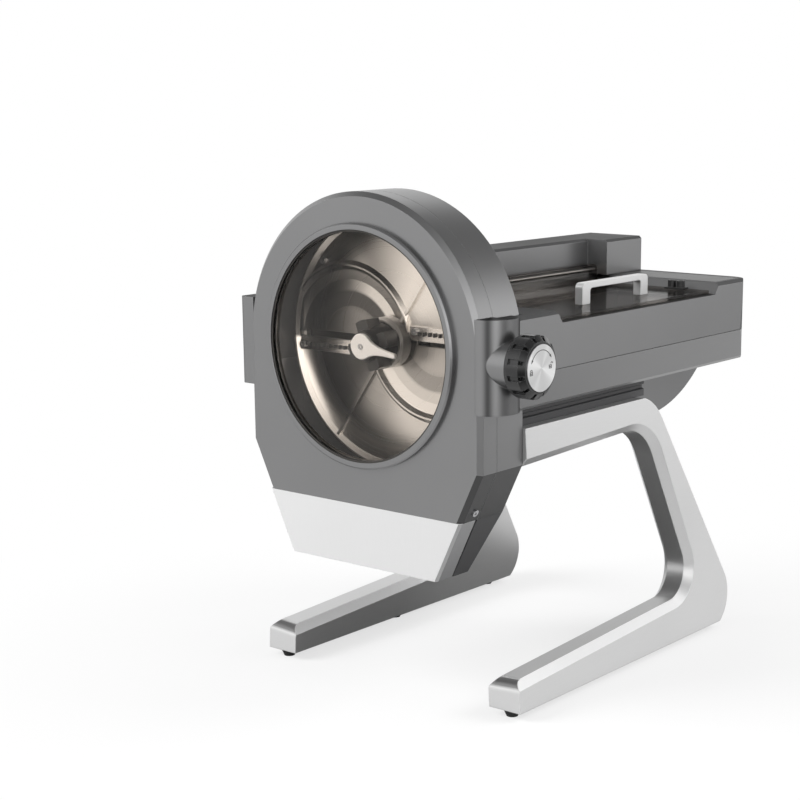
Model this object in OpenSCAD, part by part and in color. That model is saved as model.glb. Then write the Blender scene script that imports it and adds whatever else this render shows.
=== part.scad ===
// Electric vegetable cutter: a cutting head with a round window on a motor body, carried by two open legs.
// Millimetres. The front faces -Y, up is +Z, z = 0 is the table under the rubber feet.
// Sizes are given from the middle plane of the head (x = 0) and from its front face (y = 0);
// placed() then moves every piece so that the origin is the middle of the footprint.

/* [Head] */
// Height of the cutter shaft above the table
axis_z = 309; // [300:0.5:330]
// Half width of the head and radius of its arch
head_half = 129.5; // [122:0.5:138]
// Bevel around the front edge of the door
head_bevel = 4.1; // [2:0.1:6]
// Depth of the front cover
door_depth = 21.8; // [20:0.1:25]
// Gap between pieces that part when the door opens
parting_gap = 0.4; // [0.3:0.05:0.6]
// Depth of the rear half of the head
housing_depth = 34.5; // [34:0.25:40]
// Length of the straight sides below the cutter shaft
straight_drop = 94; // [85:1:105]
// Lower edge of the door below the cutter shaft
door_drop = 137; // [130:0.5:146]
// Height of the chute below the door
chute_h = 53.6; // [40:0.2:65]
// Half width of the chute at its lower edge
chute_bottom_half = 83.1; // [72:0.1:92]
// Wall between the round chamber and the outside of the head
chamber_wall = 13.5; // [12.5:0.25:15]
// Thickness of the flat walls of the head
head_wall = 4; // [3:0.25:4.5]
// Thickness of the funnel walls of the head
funnel_wall = 6; // [4:0.5:7]
// Width of the door gasket
gasket_w = 4; // [3:0.25:5]
// Thickness of the door gasket
gasket_t = 2; // [1.5:0.25:3]

/* [Window] */
// Outer radius of the raised window ring
bezel_r = 104; // [96:0.5:108]
// Width of the raised window ring
bezel_w = 5.5; // [5:0.25:8]
// How far the window ring stands out from the door
bezel_raise = 5; // [4.2:0.1:7]
// Bevel around the window ring
bezel_edge = 1.5; // [0.5:0.25:2]
// Thickness of the clear pane
pane_t = 3.2; // [2:0.1:3.4]
// How far the window ring covers the edge of the pane
pane_lap = 3; // [2:0.25:4]
// Width of the door's seat inside the window ring
window_margin = 1.5; // [1:0.25:3]
// Width of the window seal
seal_w = 1.6; // [1:0.1:2.5]
// Thickness of the window seal
seal_t = 0.8; // [0.5:0.1:1]

/* [Chute] */
// Thickness of the folded steel sheet
sheet_t = 1.2; // [1:0.1:1.5]
// Distance from the folded flanges to the back of the door
flange_back = 1.8; // [0.5:0.1:4]
// Bevel of the fold
fold = 2.2; // [1.6:0.1:3]
// Height of the tongue behind the door
tongue_h = 16; // [12:1:22]
// Distance from the tongue to the funnel walls
tongue_margin = 6; // [4:0.5:12]
// Wall of the rear chute
rear_chute_wall = 3; // [2:0.25:4]
// How far the rear chute leans forward
lip_lean = 14.7; // [6:0.1:18]
// Radius of the sheet screws' heads
sheet_screw_r = 3.3; // [2.5:0.1:4]
// Height of the sheet screws' heads
sheet_screw_h = 1.5; // [1:0.1:2]

/* [Latch and hinge blocks] */
// Radius of the rounded latch column
column_r = 23; // [21:0.5:24]
// How deep both blocks are let into the sides of the door
seat_depth = 5.5; // [5:0.25:6]
// Upper end of both blocks above the cutter shaft
block_up = 33; // [28:0.5:36]
// Lower end of both blocks below the cutter shaft
block_down = 44.5; // [40:0.5:48]
// Rounding of the hinge block's outer edge
block_round = 4; // [2:0.25:5]
// Radius of the boss under the lock knob
boss_r = 20; // [17:0.25:21]
// How far the boss stands out from the side of the head
boss_out = 25.1; // [22:0.1:30]
// Radius of the hinge knuckles
knuckle_r = 4.6; // [4:0.1:4.8]
// Height of the door's two hinge knuckles
knuckle_h = 22; // [16:0.5:26]
// Radius of the hinge pin
hinge_pin_r = 2.5; // [2:0.1:3]
// Space behind the door for the hinge and the hook
hinge_room = 17.8; // [16:0.1:20]
// Radial clearance of turning pins and shafts
running_gap = 0.05; // [0.02:0.01:0.08]

/* [Lock knob] */
// Lock knob below the cutter shaft
knob_drop = 3.5; // [0:0.25:6]
// Radius of the lock knob
knob_r = 26; // [23:0.5:29]
// Length of the lock knob
knob_len = 19; // [15:0.5:24]
// Radius of the bright knob face
knob_face_r = 19; // [15:0.5:20]
// Thickness of the bright knob face
knob_face_t = 2; // [1:0.25:3]
// Number of grip ribs
knob_ribs = 12; // [8:1:16]
// Depth of the grooves between the ribs
knob_groove = 1.6; // [1:0.1:2.5]
// Width of the grooves between the ribs
groove_w = 4.8; // [3:0.2:6]
// Radius of the lock shaft
lock_shaft_r = 6; // [4.5:0.25:6.5]
// Reach of the lock hook
hook_reach = 32; // [29:0.5:33]
// Thickness of the lock hook
hook_t = 3.2; // [2.5:0.1:3.6]
// Clearance around the lock hook
hook_gap = 0.8; // [0.5:0.1:1]
// Radius of the hook's hub
hook_hub_r = 10; // [8.5:0.25:10.5]
// Radius of the strike pin
strike_r = 3; // [2.5:0.25:3.5]
// Thickness of the strike plate
strike_t = 1.8; // [1.2:0.1:2]

/* [Body] */
// How far the body stands out beyond each side of the head
side_strip = 10.5; // [10.2:0.1:13]
// Length of the body
body_len = 375; // [350:1:420]
// Top of the body above the cutter shaft
top_rise = 32; // [31:0.25:40]
// Seam of the body shells below the cutter shaft
seam_drop = 16.6; // [12:0.2:22]
// Underside of the body below the cutter shaft
body_drop = 46; // [44.5:0.25:54]
// Gap at the seam
seam_gap = 0.4; // [0.3:0.05:0.6]
// Wall of the body shells
body_wall = 3; // [2.5:0.1:3.4]
// Bevel of the body's long edges
body_edge = 3; // [1.5:0.25:4]
// Radius of the rear corners
body_corner_r = 20; // [14:0.5:26]
// Inward slope of the upper walls
upper_draft = 1.5; // [0.5:0.1:1.8]
// Inward slope of the lower walls
lower_draft = 2.5; // [1:0.1:2.6]
// Depth of the loading recess
recess_drop = 10.5; // [8:0.25:12]
// Front ledge of the body
ledge_len = 43.3; // [38:0.5:50]
// Rear deck of the body
rear_deck_len = 65; // [58:0.5:75]
// Slope of the recess ends
recess_lean = 8; // [5:0.5:9]

/* [Tower and deck] */
// Height of the hinge tower
tower_h = 34.5; // [26:0.5:40]
// Left side of the tower
tower_left_x = -50; // [-60:0.5:-44]
// Width of the tower
tower_w = 42; // [34:0.5:44]
// Width of the tower's rear block
block_w = 65; // [58:0.5:68]
// Bevel of the tower's edges
tower_edge = 2.5; // [1:0.25:5]
// Distance from the tower to the rear of the body
tower_back = 3; // [2:0.5:14]
// Thickness of the deck panel
deck_t = 1.2; // [0.8:0.1:1.6]
// Distance from the deck panel to the edges of the body
deck_margin = 8; // [6:0.5:12]
// Gap around the deck panel
deck_gap = 0.3; // [0.2:0.05:0.5]

/* [Feed trough] */
// Left side of the trough
trough_left_x = 30; // [29.5:0.25:34]
// Distance from the trough to the right side of the body
trough_side = 22; // [21:0.25:30]
// Thickness of the trough's sheet
liner_t = 1.5; // [1:0.1:2]
// Distance from the trough to the end of the recess floor
trough_back = 4; // [3:0.25:5]
// Radius of the belt rollers
roller_r = 10; // [7:0.25:10.25]
// Height of the belt rollers above the floor of the body
roller_up = 12.5; // [12.3:0.1:15]
// Front roller behind the bulkhead
front_roller_gap = 21.3; // [18:0.5:26]
// Rear roller in front of the trough's end
rear_roller_gap = 18; // [16:0.5:24]
// Thickness of the feed belt
belt_t = 1.5; // [1:0.1:1.6]
// Gap between belts and their wheels
belt_gap = 0.35; // [0.3:0.05:0.45]
// Distance from the feed belt to the trough's sides
belt_side_gap = 5; // [4:0.25:8]
// Radius of the roller journals
journal_r = 4; // [3:0.25:5]
// Thickness of the roller bearings
bearing_t = 10; // [8:0.5:10.5]
// Half width of the feed motor's gear box
gear_half = 14; // [11:0.5:15]
// Thickness of the feed motor's gear box
gear_w = 22; // [14:0.5:24]
// Radius of the feed motor
feed_motor_r = 13; // [9:0.5:13.5]
// Length of the feed motor
feed_motor_len = 56; // [40:1:58]
// Half width of the roller bearings
bearing_half = 10; // [8:0.5:12]

/* [Lid] */
// How far the lid reaches past the trough
lid_lap = 14; // [4:0.25:15]
// Thickness of the lid
lid_t = 3; // [2:0.25:3.5]
// Gap between the lid and the recess floor
lid_gap = 0.6; // [0.4:0.1:0.8]
// Gap at the ends of the lid
lid_end_gap = 1; // [0.6:0.1:2]
// Hinge axis of the lid above the body
lid_axis_up = 5; // [4.5:0.25:7]
// Radius of the lid's hinge tube
lid_tube_r = 5; // [4:0.25:5.25]
// Radius of the lid's hinge rod
lid_rod_r = 2; // [1.5:0.1:2.5]
// Gap between the hinge tube and the tower
lid_axis_gap = 2; // [1.5:0.25:2.5]
// Thickness of the lid's hinge post
post_t = 7; // [5:0.5:10]
// Handle in from the right edge of the lid
handle_inset = 35; // [27:0.5:45]
// Front end of the handle behind the front of the recess floor
handle_start = 83.5; // [76:0.5:96]
// Length of the handle
handle_len = 106.5; // [90:0.5:120]
// Height of the handle
handle_h = 19; // [16:0.5:26]
// Width of the handle strip
handle_w = 8; // [7:0.5:12]
// Thickness of the handle's ends
handle_leg = 12; // [9:0.5:14]
// Thickness of the handle's bar
handle_bar = 5; // [4:0.5:7]
// Radius of the handle screws
handle_screw_r = 2; // [1.5:0.1:2.4]
// Width of the lid's catch
catch_w = 20; // [16:0.5:26]
// Depth of the lid's catch
catch_len = 11; // [10:0.5:14]
// Height of the lid's catch
catch_h = 8; // [5:0.5:10]
// Catch in from the right edge of the lid
catch_inset = 22; // [12:0.5:24]
// Clearance of screws in their holes
screw_gap = 0.2; // [0.1:0.05:0.3]

/* [Cutter] */
// Gap between the cutter disc and the chamber wall
disc_gap = 5; // [3:0.25:8]
// Gap behind the cutter disc
disc_back_gap = 2.7; // [2:0.1:3]
// Thickness of the cutter disc
disc_t = 8; // [7:0.25:8.5]
// Width of the bright rim
rim_w = 5; // [3:0.25:7]
// How far the rim stands forward
rim_raise = 4; // [2.5:0.25:5]
// Middle of each cutting pocket across the disc, as a share of its radius
pocket_share = 0.4325; // [0.395:0.0025:0.4675]
// Middle of each cutting pocket below the axis
pocket_z = 9; // [6:0.5:12]
// Radius of the S-shaped ridge, as a share of the disc's radius
ridge_share = 0.6485; // [0.6135:0.0025:0.6735]
// Half width of the S-shaped ridge
ridge_w = 4; // [3:0.25:6]
// Depth of the pocket's middle
pocket_drop = 5; // [3:0.25:5.5]
// Cutting edge above the middle of the pocket
blade_edge = 4.5; // [3:0.25:6]
// Width of the slicing blades
blade_w = 11; // [10:0.25:13]
// Thickness of the slicing blades
blade_t = 2.6; // [1.5:0.1:3]
// Gap in front of the cutting edge
slot_w = 6.5; // [4:0.25:8]
// Number of comb teeth on each blade
comb_teeth = 12; // [8:1:12]
// Width of the comb teeth
comb_tooth = 1.6; // [1.2:0.1:2]
// Distance from the comb to the blade screws
comb_margin = 4.2; // [3.8:0.1:6]
// Radius of the blade screws' heads
blade_screw_r = 2.9; // [2:0.1:3.2]
// Height of the blade screws' heads
blade_screw_h = 2.4; // [1.6:0.1:3]
// Outer blade screw in from the edge of the disc
blade_screw_in = 9.8; // [9.4:0.1:12]
// Inner blade screw outside the hub
blade_screw_off = 7; // [6:0.1:9]
// Angle of the screw at the outer end of each ridge
rim_screw_angle = 140; // [132:1:141]
// Angle of the thin radial ribs
rib_angle = 55; // [45:1:70]
// Radius of the hub ring
hub_r = 22; // [20.5:0.25:24]
// Height of the hub ring
hub_h = 12; // [10:0.5:13]
// Wall of the hub ring
hub_lip = 4; // [3:0.25:5]
// Floor of the hub ring
hub_floor = 3; // [2:0.25:4]
// Gap around the clamp knob in the hub ring
clamp_gap = 0.6; // [0.4:0.1:1]
// Length of the clamp knob in front of the hub ring
clamp_len = 25; // [20:0.5:25.5]
// How much the clamp knob narrows to its front
clamp_taper = 5; // [3:0.25:6]
// Reach of the clamp knob's wings
wing_r = 22; // [19:0.25:25]
// Width of the clamp knob's wings
wing_w = 13; // [9:0.5:15]
// Radius of the stud in the clamp knob
stud_r = 7; // [5:0.25:8]
// Radius of the lever's round head
lever_r = 11; // [8:0.25:11.5]
// Radius of the lever's tip
lever_tip_r = 2.2; // [1.5:0.1:3]
// Reach of the lever
lever_reach = 36; // [28:0.5:40]
// Thickness of the lever
lever_t = 3; // [2:0.25:3.2]
// Radius of the lever's screw
lever_screw_r = 2.5; // [2:0.1:3]

/* [Drive] */
// Radius of the main shaft
shaft_r = 9; // [8.25:0.25:10]
// Clearance of the main shaft in the walls
shaft_room = 6; // [4:0.5:8]
// Radius of the shaft bearing
hub_bearing_r = 20; // [16:0.5:24]
// Length of the shaft bearing
hub_bearing_len = 10; // [8:0.5:11]
// Clearance between the shaft bearing and the large belt wheel
wheel_gap = 0.8; // [0.5:0.1:1.5]
// Width of the belt wheels
wheel_w = 12; // [10:0.5:13]
// Rims of the belt wheels
wheel_rim = 1.5; // [1:0.1:1.6]
// Radius of the small belt wheel
small_wheel_r = 12; // [10:0.25:13]
// Radius of the large belt wheel
large_wheel_r = 24; // [21:0.25:25]
// Thickness of the drive belt
drive_belt_t = 2; // [1.5:0.1:2.4]
// Air between the motor and the side of its cowl
motor_side_gap = 1.5; // [1:0.1:3]
// Motor axis below the cutter shaft
motor_drop = 47; // [45:0.5:47.5]
// Radius of the motor
motor_r = 37; // [33:0.5:38]
// Motor behind the belt wheels
motor_gap = 20; // [16:0.5:26]
// Length of the motor
motor_len = 145; // [120:1:150]
// Radius of the motor shaft
motor_shaft_r = 5; // [4:0.25:6]
// Length of the motor shaft inside the motor
motor_shaft_len = 36; // [24:1:48]
// Thickness of the motor bracket and the bearing flange
plate_t = 6; // [4:0.5:7]
// Air between the motor cowl and the legs
cowl_gap = 1.9; // [1:0.1:3]
// Depth of the motor cowl below the body
cowl_depth = 46; // [44:0.5:52]
// Radius of the cowl's rear sweep
cowl_sweep_r = 143; // [138:0.5:150]
// Middle of the cowl's rear sweep in front of the rear face
cowl_sweep_back = 119; // [116:0.5:126]
// Number of cooling slots
vent_count = 8; // [4:1:9]
// Width of the cooling slots
vent_w = 6; // [4:0.5:8]
// Length of the cooling slots
vent_len = 70; // [40:1:90]
// Start of the cooling slots ahead of the cowl's sweep
vent_start = 120; // [100:1:140]

/* [Legs] */
// Middle of each leg in from the side of the body
leg_inset = 9; // [7:0.25:12]
// Width of the legs
leg_w = 33; // [30:0.5:36]
// Foot beam in front of the body
leg_lead = 8; // [4:0.5:14]
// Lean of the legs towards the middle in degrees
leg_splay = 3.5; // [1:0.25:3.75]
// Height of the rubber feet
foot_h = 7; // [5:0.25:9]
// Rear corner of the top beam behind the front of the body
top_beam_len = 212.5; // [204:0.5:222]
// How far the leaning post runs back to its foot
post_run = 148.5; // [138:0.5:158]
// Height of the foot beam at its front
foot_front_h = 26; // [22:0.25:30]
// Height of the foot beam at its rear
foot_rear_h = 40.4; // [36:0.2:46]
// Height of the top beam at its front
beam_front_h = 33.8; // [30:0.1:37]
// Height of the top beam at its rear
beam_rear_h = 27.4; // [24:0.1:30]
// Length of the heel behind the opening
post_low = 77; // [70:0.5:85]
// Opening's upper corner in front of the top beam's corner
post_high = 6; // [2:0.5:10]
// Radius of the heel
heel_r = 34; // [28:0.5:38]
// How far the heel is cut flat
heel_drop = 6; // [4:0.25:8]
// Outer radius of the knee
knee_r = 52; // [44:0.5:60]
// Radius of the opening's lower corner
opening_low_r = 29; // [22:0.5:34]
// Radius of the opening's upper corner
opening_high_r = 46; // [38:0.5:54]
// Rounding of the foot beam's front end
toe_r = 10; // [6:0.25:14]
// Chamfer around the leg opening
leg_chamfer = 7; // [4:0.25:9]
// Radius of the rubber feet
foot_r = 8; // [6:0.25:9]
// How much the rubber feet narrow to the table
foot_taper = 3; // [2:0.25:4]
// Front rubber feet behind the end of the foot beam
foot_margin = 10; // [9:0.25:14]
// Middle rubber feet behind the end of the foot beam
foot_middle = 162; // [140:1:190]
// Rear rubber feet in front of the heel's corner
heel_foot = 56; // [48:0.5:64]
// Width of the dark mounting rails
rail_w = 15; // [12:0.5:17]
// Height of the dark mounting rails
rail_h = 17; // [14:0.1:20]
// Depth of the groove in the rails
rail_groove = 2.2; // [1:0.1:3]
// Radius of the leg bolts
bolt_r = 4; // [3:0.25:4.5]
// Radius of the leg bolts' heads
bolt_head_r = 6.8; // [6:0.2:7.4]
// Height of the leg bolts' heads
bolt_head_h = 6; // [4:0.25:8]
// Seat of the bolt heads below the top of the leg
bolt_seat = 22.7; // [15:0.1:24]
// Front leg bolts behind the front of the body
bolt_front = 17; // [12:0.5:30]
// Rear leg bolts in front of the bend of the leg
bolt_back = 42; // [36:0.5:60]
// Leg bolts in from the middle of the leg
bolt_inset = 2; // [1:0.25:3]

/* [Rear fittings] */
// Middle of the mains inlet in from the body's side
inlet_inset = 56; // [48:0.5:62]
// Width of the mains inlet's body
inlet_w = 27; // [24:0.5:30]
// Flange around the mains inlet
inlet_flange = 6.5; // [5:0.25:8]
// Middle of the rocker switch from the inlet's
switch_pitch = 50; // [44:0.5:56]
// Width of the rocker switch's body
switch_w = 21; // [18:0.5:23]
// Flange around the rocker switch
switch_flange = 2.5; // [2:0.25:4]
// Thickness of the rear flanges
flange_t = 2; // [1.5:0.1:2.5]
// Height of the bodies of both rear fittings
insert_h = 18; // [16:0.25:20]
// Depth of the bodies of both rear fittings
insert_depth = 12; // [10:0.5:16]
// Clearance of inserts in their openings
fit_gap = 0.4; // [0.2:0.05:0.6]
// Tilt of the rocker to either side
rocker_tilt = 8; // [4:0.5:9]

/* [Hidden] */
$fn = 96;
bite = 1;
inside = 0.003;
straight_z = axis_z - straight_drop;
door_bottom_z = axis_z - door_drop;
chute_bottom_z = door_bottom_z - chute_h;
rear_front_y = door_depth + parting_gap;
head_depth = rear_front_y + housing_depth;
chamber_r = head_half - chamber_wall;
taper_slope = (head_half - chute_bottom_half) / (straight_z - chute_bottom_z);
taper_angle = atan(taper_slope);
bezel_inner_r = bezel_r - bezel_w;
pane_r = bezel_inner_r + pane_lap;
window_r = bezel_inner_r - window_margin;
flange_depth = door_depth - flange_back;
chute_lip_y = head_depth - lip_lean;
tongue_half = head_half_at(door_bottom_z) - funnel_wall - tongue_margin;
clear_x = head_half + parting_gap;
body_half = head_half + side_strip;
seat_x = head_half - seat_depth;
gasket_r = chamber_r + (seat_x - chamber_r - gasket_w) / 2;
column_x = seat_x - 1;
block_bottom_z = axis_z - block_down;
block_top_z = axis_z + block_up;
block_rear_y = door_depth + hinge_room;
body_front_y = block_rear_y + parting_gap;
hinge_x = -clear_x - knuckle_r;
hinge_y = (door_depth + block_rear_y) / 2;
knob_y = column_r - 1;
knob_z = axis_z - knob_drop;
boss_end_x = head_half + boss_out;
knob_base_x = boss_end_x + parting_gap;
knob_face_x = knob_base_x + knob_len;
hook_x = head_half + strike_t + hook_gap;
strike_y = knob_y + hook_reach - 2 * strike_r - 1;
body_rear_y = body_front_y + body_len;
body_top_z = axis_z + top_rise;
body_bottom_z = axis_z - body_drop;
seam_z = axis_z - seam_drop;
floor_z = body_bottom_z + body_wall;
lower_top_z = seam_z - seam_gap / 2;
upper_bottom_z = seam_z + seam_gap / 2;
recess_z = body_top_z - recess_drop;
recess_under_z = recess_z - body_wall;
bulkhead_rear_y = head_depth + head_wall;
shell_front_y = head_depth + parting_gap;
recess_front_y = head_depth + ledge_len;
recess_rear_y = body_rear_y - rear_deck_len;
tower_right_x = tower_left_x + tower_w;
tower_top_z = body_top_z + tower_h;
tower_rear_y = body_rear_y - tower_back;
rear_block_x = tower_left_x + block_w;
rear_block_y = recess_rear_y;
trough_right_x = body_half - trough_side;
trough_rear_y = recess_rear_y - trough_back;
roller_z = floor_z + roller_up;
front_roller_y = bulkhead_rear_y + front_roller_gap;
rear_roller_y = trough_rear_y - rear_roller_gap;
belt_top_z = roller_z + roller_r + belt_gap + belt_t;
lid_low_z = recess_z + lid_gap;
lid_top_z = lid_low_z + lid_t;
lid_axis_x = tower_right_x + lid_axis_gap + lid_tube_r;
lid_axis_z = body_top_z + lid_axis_up;
lid_right_x = trough_right_x + lid_lap;
lid_front_y = recess_front_y + lid_end_gap;
lid_rear_y = recess_rear_y - lid_end_gap;
post_rear_y = recess_front_y - recess_lean - lid_end_gap;
handle_x = lid_right_x - handle_inset;
catch_right_x = lid_right_x - catch_inset;
handle_front_y = recess_front_y + handle_start;
handle_top_z = lid_top_z + handle_h;
disc_r = chamber_r - disc_gap;
disc_back_y = head_depth - head_wall - disc_back_gap;
disc_y = disc_back_y - disc_t;
edge_z = axis_z - pocket_z + blade_edge;
pocket_x = pocket_share * disc_r;
ridge_r = ridge_share * disc_r;
outer_screw_x = blade_screw_in - disc_r;
inner_screw_x = -hub_r - blade_screw_off;
comb_x = outer_screw_x + comb_margin;
comb_pitch = (inner_screw_x - comb_margin - comb_tooth - comb_x) / (comb_teeth - 1);
hub_front_y = disc_y - hub_h;
clamp_r = hub_r - hub_lip - clamp_gap;
clamp_front_y = hub_front_y - clamp_len;
clamp_rear_y = disc_y - hub_floor - parting_gap;
wheel_y = bulkhead_rear_y + hub_bearing_len + wheel_gap + wheel_rim;
motor_front_y = wheel_y + wheel_w + motor_gap;
motor_z = axis_z - motor_drop;
shaft_rear_y = motor_front_y + 2 * plate_t;
cowl_bottom_z = body_bottom_z - cowl_depth;
cowl_front_y = wheel_y - 2 * wheel_rim - body_wall - 2;
cowl_sweep_y = body_rear_y - cowl_sweep_back;
cowl_sweep_z = cowl_bottom_z + cowl_sweep_r;
leg_x = body_half - leg_inset;
leg_face_x = leg_x + leg_w / 2;
leg_outer_x = leg_x + leg_w / 2 * cos(leg_splay) - foot_h * sin(leg_splay);
function leg_at(z) = leg_x - z * tan(leg_splay);
leg_front_y = body_front_y - leg_lead;
leg_top_z = body_bottom_z - rail_h;
leg_top_corner_y = body_front_y + top_beam_len;
leg_foot_corner_y = leg_top_corner_y + post_run;
bolt_seat_z = leg_top_z - bolt_seat;
bolt_x = leg_at(bolt_seat_z) - bolt_inset;
cowl_half = leg_at(leg_top_z) - leg_w / 2 / cos(leg_splay) - cowl_gap;
motor_x = motor_r + motor_side_gap + body_wall - cowl_half;
inlet_x = inlet_inset - body_half;
switch_x = inlet_x + switch_pitch;
bolt_rows = [shell_front_y + bolt_front, leg_top_corner_y - bolt_back];
foot_rows = [leg_front_y + foot_margin, leg_front_y + foot_middle, leg_foot_corner_y - heel_foot];
insert_z = (floor_z + lower_top_z) / 2;
origin_x = (knob_face_x - leg_outer_x) / 2;
origin_y = (body_rear_y + flange_t - bezel_raise) / 2;

function unit(v) = v / norm(v);
function head_half_at(z) = z > straight_z ? head_half : head_half - (straight_z - z) * taper_slope;
function meet(p, d, q, e) = p + d * cross(q - p, e) / cross(d, e);
function before(points, i) = points[(i + len(points) - 1) % len(points)];
function after(points, i) = points[(i + 1) % len(points)];
function half_angle(points, i) =
  acos(unit(before(points, i) - points[i]) * unit(after(points, i) - points[i])) / 2;
function touch_in(points, radii, i) =
  points[i] + unit(before(points, i) - points[i]) * radii[i] / tan(half_angle(points, i));
function touch_out(points, radii, i) =
  points[i] + unit(after(points, i) - points[i]) * radii[i] / tan(half_angle(points, i));
function round_middle(points, radii, i) = points[i]
  + unit(unit(before(points, i) - points[i]) + unit(after(points, i) - points[i]))
  * radii[i] / sin(half_angle(points, i));

module placed() translate([-origin_x, -origin_y, 0]) children();
module along_x(x0, x1) translate([x0, 0, 0]) rotate([90, 0, 90]) linear_extrude(x1 - x0) children();
module along_y(y0, y1) translate([0, y1, 0]) rotate([90, 0, 0]) linear_extrude(y1 - y0) children();
module along_z(z0, z1) translate([0, 0, z0]) linear_extrude(z1 - z0) children();
module rod_x(x0, x1, y, z, r) along_x(x0, x1) translate([y, z]) circle(r);
module rod_y(y0, y1, x, z, r) along_y(y0, y1) translate([x, z]) circle(r);
module rod_z(z0, z1, x, y, r) along_z(z0, z1) translate([x, y]) circle(r);
module cone_y(y0, y1, x, z, r0, r1) translate([x, y0, z]) rotate([-90, 0, 0])
  cylinder(h = y1 - y0, r1 = r0, r2 = r1);
module box(x0, x1, y0, y1, z0, z1) translate([x0, y0, z0]) cube([x1 - x0, y1 - y0, z1 - z0]);
module both_sides() { children(); mirror([1, 0, 0]) children(); }
module both_pockets() {
  children();
  translate([0, 0, 2 * axis_z]) rotate([0, 180, 0]) children();
}
module socket_head(depth, r) cylinder(h = 2 * depth, r = r, center = true, $fn = 6);

// A convex outline whose corners are rounded by true arcs.
module rounded(points, radii) {
  polygon([for (i = [0 : len(points) - 1]) each [touch_in(points, radii, i), touch_out(points, radii, i)]]);
  for (i = [0 : len(points) - 1])
    if (radii[i] > 0.1) translate(round_middle(points, radii, i)) circle(radii[i]);
}

// Round arch with straight sides that run into a funnel.
module arch(y0, y1, half, low_half, knee_z, bottom_z) {
  rod_y(y0, y1, 0, axis_z, half);
  along_y(y0, y1) polygon([[-half, axis_z], [half, axis_z], [half, knee_z], [low_half, bottom_z],
    [-low_half, bottom_z], [-half, knee_z]]);
}

// The cutting chamber, open at the bottom towards the chute.
module chamber(y0, y1) {
  bottom_z = door_bottom_z - bite;
  knee_z = straight_z - (chamber_wall - funnel_wall) / taper_slope;
  arch(y0, y1, chamber_r, head_half_at(bottom_z) - funnel_wall, knee_z, bottom_z);
}

// Funnel-shaped block between two heights, its two front edges bevelled.
module funnel(inset, y0, y1, bevel, z0, z1) {
  reach = 4 * head_half;
  cut = bevel * cos(taper_angle);
  half = head_half - inset / cos(taper_angle);
  section = [[-reach, y0], [-cut, y0], [0, y0 + bevel], [0, y1], [-reach, y1]];
  intersection() {
    translate([half, 0, straight_z]) rotate([0, taper_angle, 0]) along_z(-reach, reach) polygon(section);
    mirror([1, 0, 0]) translate([half, 0, straight_z]) rotate([0, taper_angle, 0])
      along_z(-reach, reach) polygon(section);
    box(-reach, reach, -reach, reach, z0, z1);
  }
}

// Section of the cut that bevels a front edge.
module wedge(bevel) polygon([[-bevel - bite, -bite], [bite, bevel + bite], [bite, -bite]]);

// Full block of the door with its bevelled front edge.
module door_blank() {
  low_half = head_half_at(door_bottom_z);
  rod_y(head_bevel, door_depth, 0, axis_z, head_half);
  cone_y(0, head_bevel, 0, axis_z, head_half - head_bevel, head_half);
  difference() {
    along_y(0, door_depth) polygon([[-head_half, axis_z], [head_half, axis_z], [head_half, straight_z],
      [low_half, door_bottom_z], [-low_half, door_bottom_z], [-head_half, straight_z]]);
    both_sides() {
      translate([head_half, 0, 0]) along_z(0, 2 * axis_z) wedge(head_bevel);
      translate([head_half, 0, straight_z]) rotate([0, taper_angle, 0]) along_z(-axis_z, axis_z)
        wedge(head_bevel - 0.1);
    }
  }
}

// Gasket loop: an arch whose two legs follow the straight sides.
module gasket_loop(y0, y1) difference() {
  union() {
    rod_y(y0, y1, 0, axis_z, gasket_r + gasket_w);
    box(-gasket_r - gasket_w, gasket_r + gasket_w, y0, y1, straight_z, axis_z);
  }
  rod_y(y0 - bite, y1 + bite, 0, axis_z, gasket_r);
  box(-gasket_r, gasket_r, y0 - bite, y1 + bite, straight_z - bite, axis_z);
  box(-head_half, head_half, y0 - bite, y1 + bite, 0, straight_z);
}

module front_cover() color([0.42, 0.42, 0.43]) placed() difference() {
  door_blank();
  chamber(head_wall, door_depth + bite);
  rod_y(-bite, head_wall + bite, 0, axis_z, window_r);
  both_sides() box(seat_x, 2 * head_half, -bite, door_depth + bite, block_bottom_z, block_top_z);
  gasket_loop(door_depth - gasket_t, door_depth + bite);
}

module window_ring() color([0.46, 0.46, 0.47]) placed() difference() {
  union() {
    rod_y(bezel_edge - bezel_raise, 0, 0, axis_z, bezel_r);
    cone_y(-bezel_raise, bezel_edge - bezel_raise, 0, axis_z, bezel_r - bezel_edge, bezel_r);
  }
  rod_y(-bezel_raise - bite, bite, 0, axis_z, bezel_inner_r);
  rod_y(-pane_t, bite, 0, axis_z, pane_r);
}

module window_pane() color([0.35, 0.31, 0.28, 0.45]) placed() rod_y(-pane_t, 0, 0, axis_z, pane_r);

module window_seal() color([0.05, 0.05, 0.05]) placed() difference() {
  rod_y(-pane_t - seal_t, -pane_t, 0, axis_z, bezel_inner_r);
  rod_y(-pane_t - seal_t - bite, bite, 0, axis_z, bezel_inner_r - seal_w);
}

module door_gasket() color([0.08, 0.08, 0.08]) placed() gasket_loop(door_depth - gasket_t, door_depth);

// Opening that lets the vegetables through to the disc.
module feed_opening(y0, y1)
  box(trough_left_x + liner_t, trough_right_x - 13, y0, y1, belt_top_z, recess_under_z - 2);
module shaft_opening(y0, y1) rod_y(y0, y1, 0, axis_z, shaft_r + shaft_room);

module rear_head_housing() color([0.4, 0.4, 0.41]) placed() difference() {
  arch(rear_front_y, head_depth, head_half, head_half_at(door_bottom_z), straight_z, door_bottom_z);
  chamber(rear_front_y - bite, head_depth - head_wall);
  feed_opening(head_depth - head_wall - bite, head_depth + bite);
  shaft_opening(head_depth - head_wall - bite, head_depth + bite);
}

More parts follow.
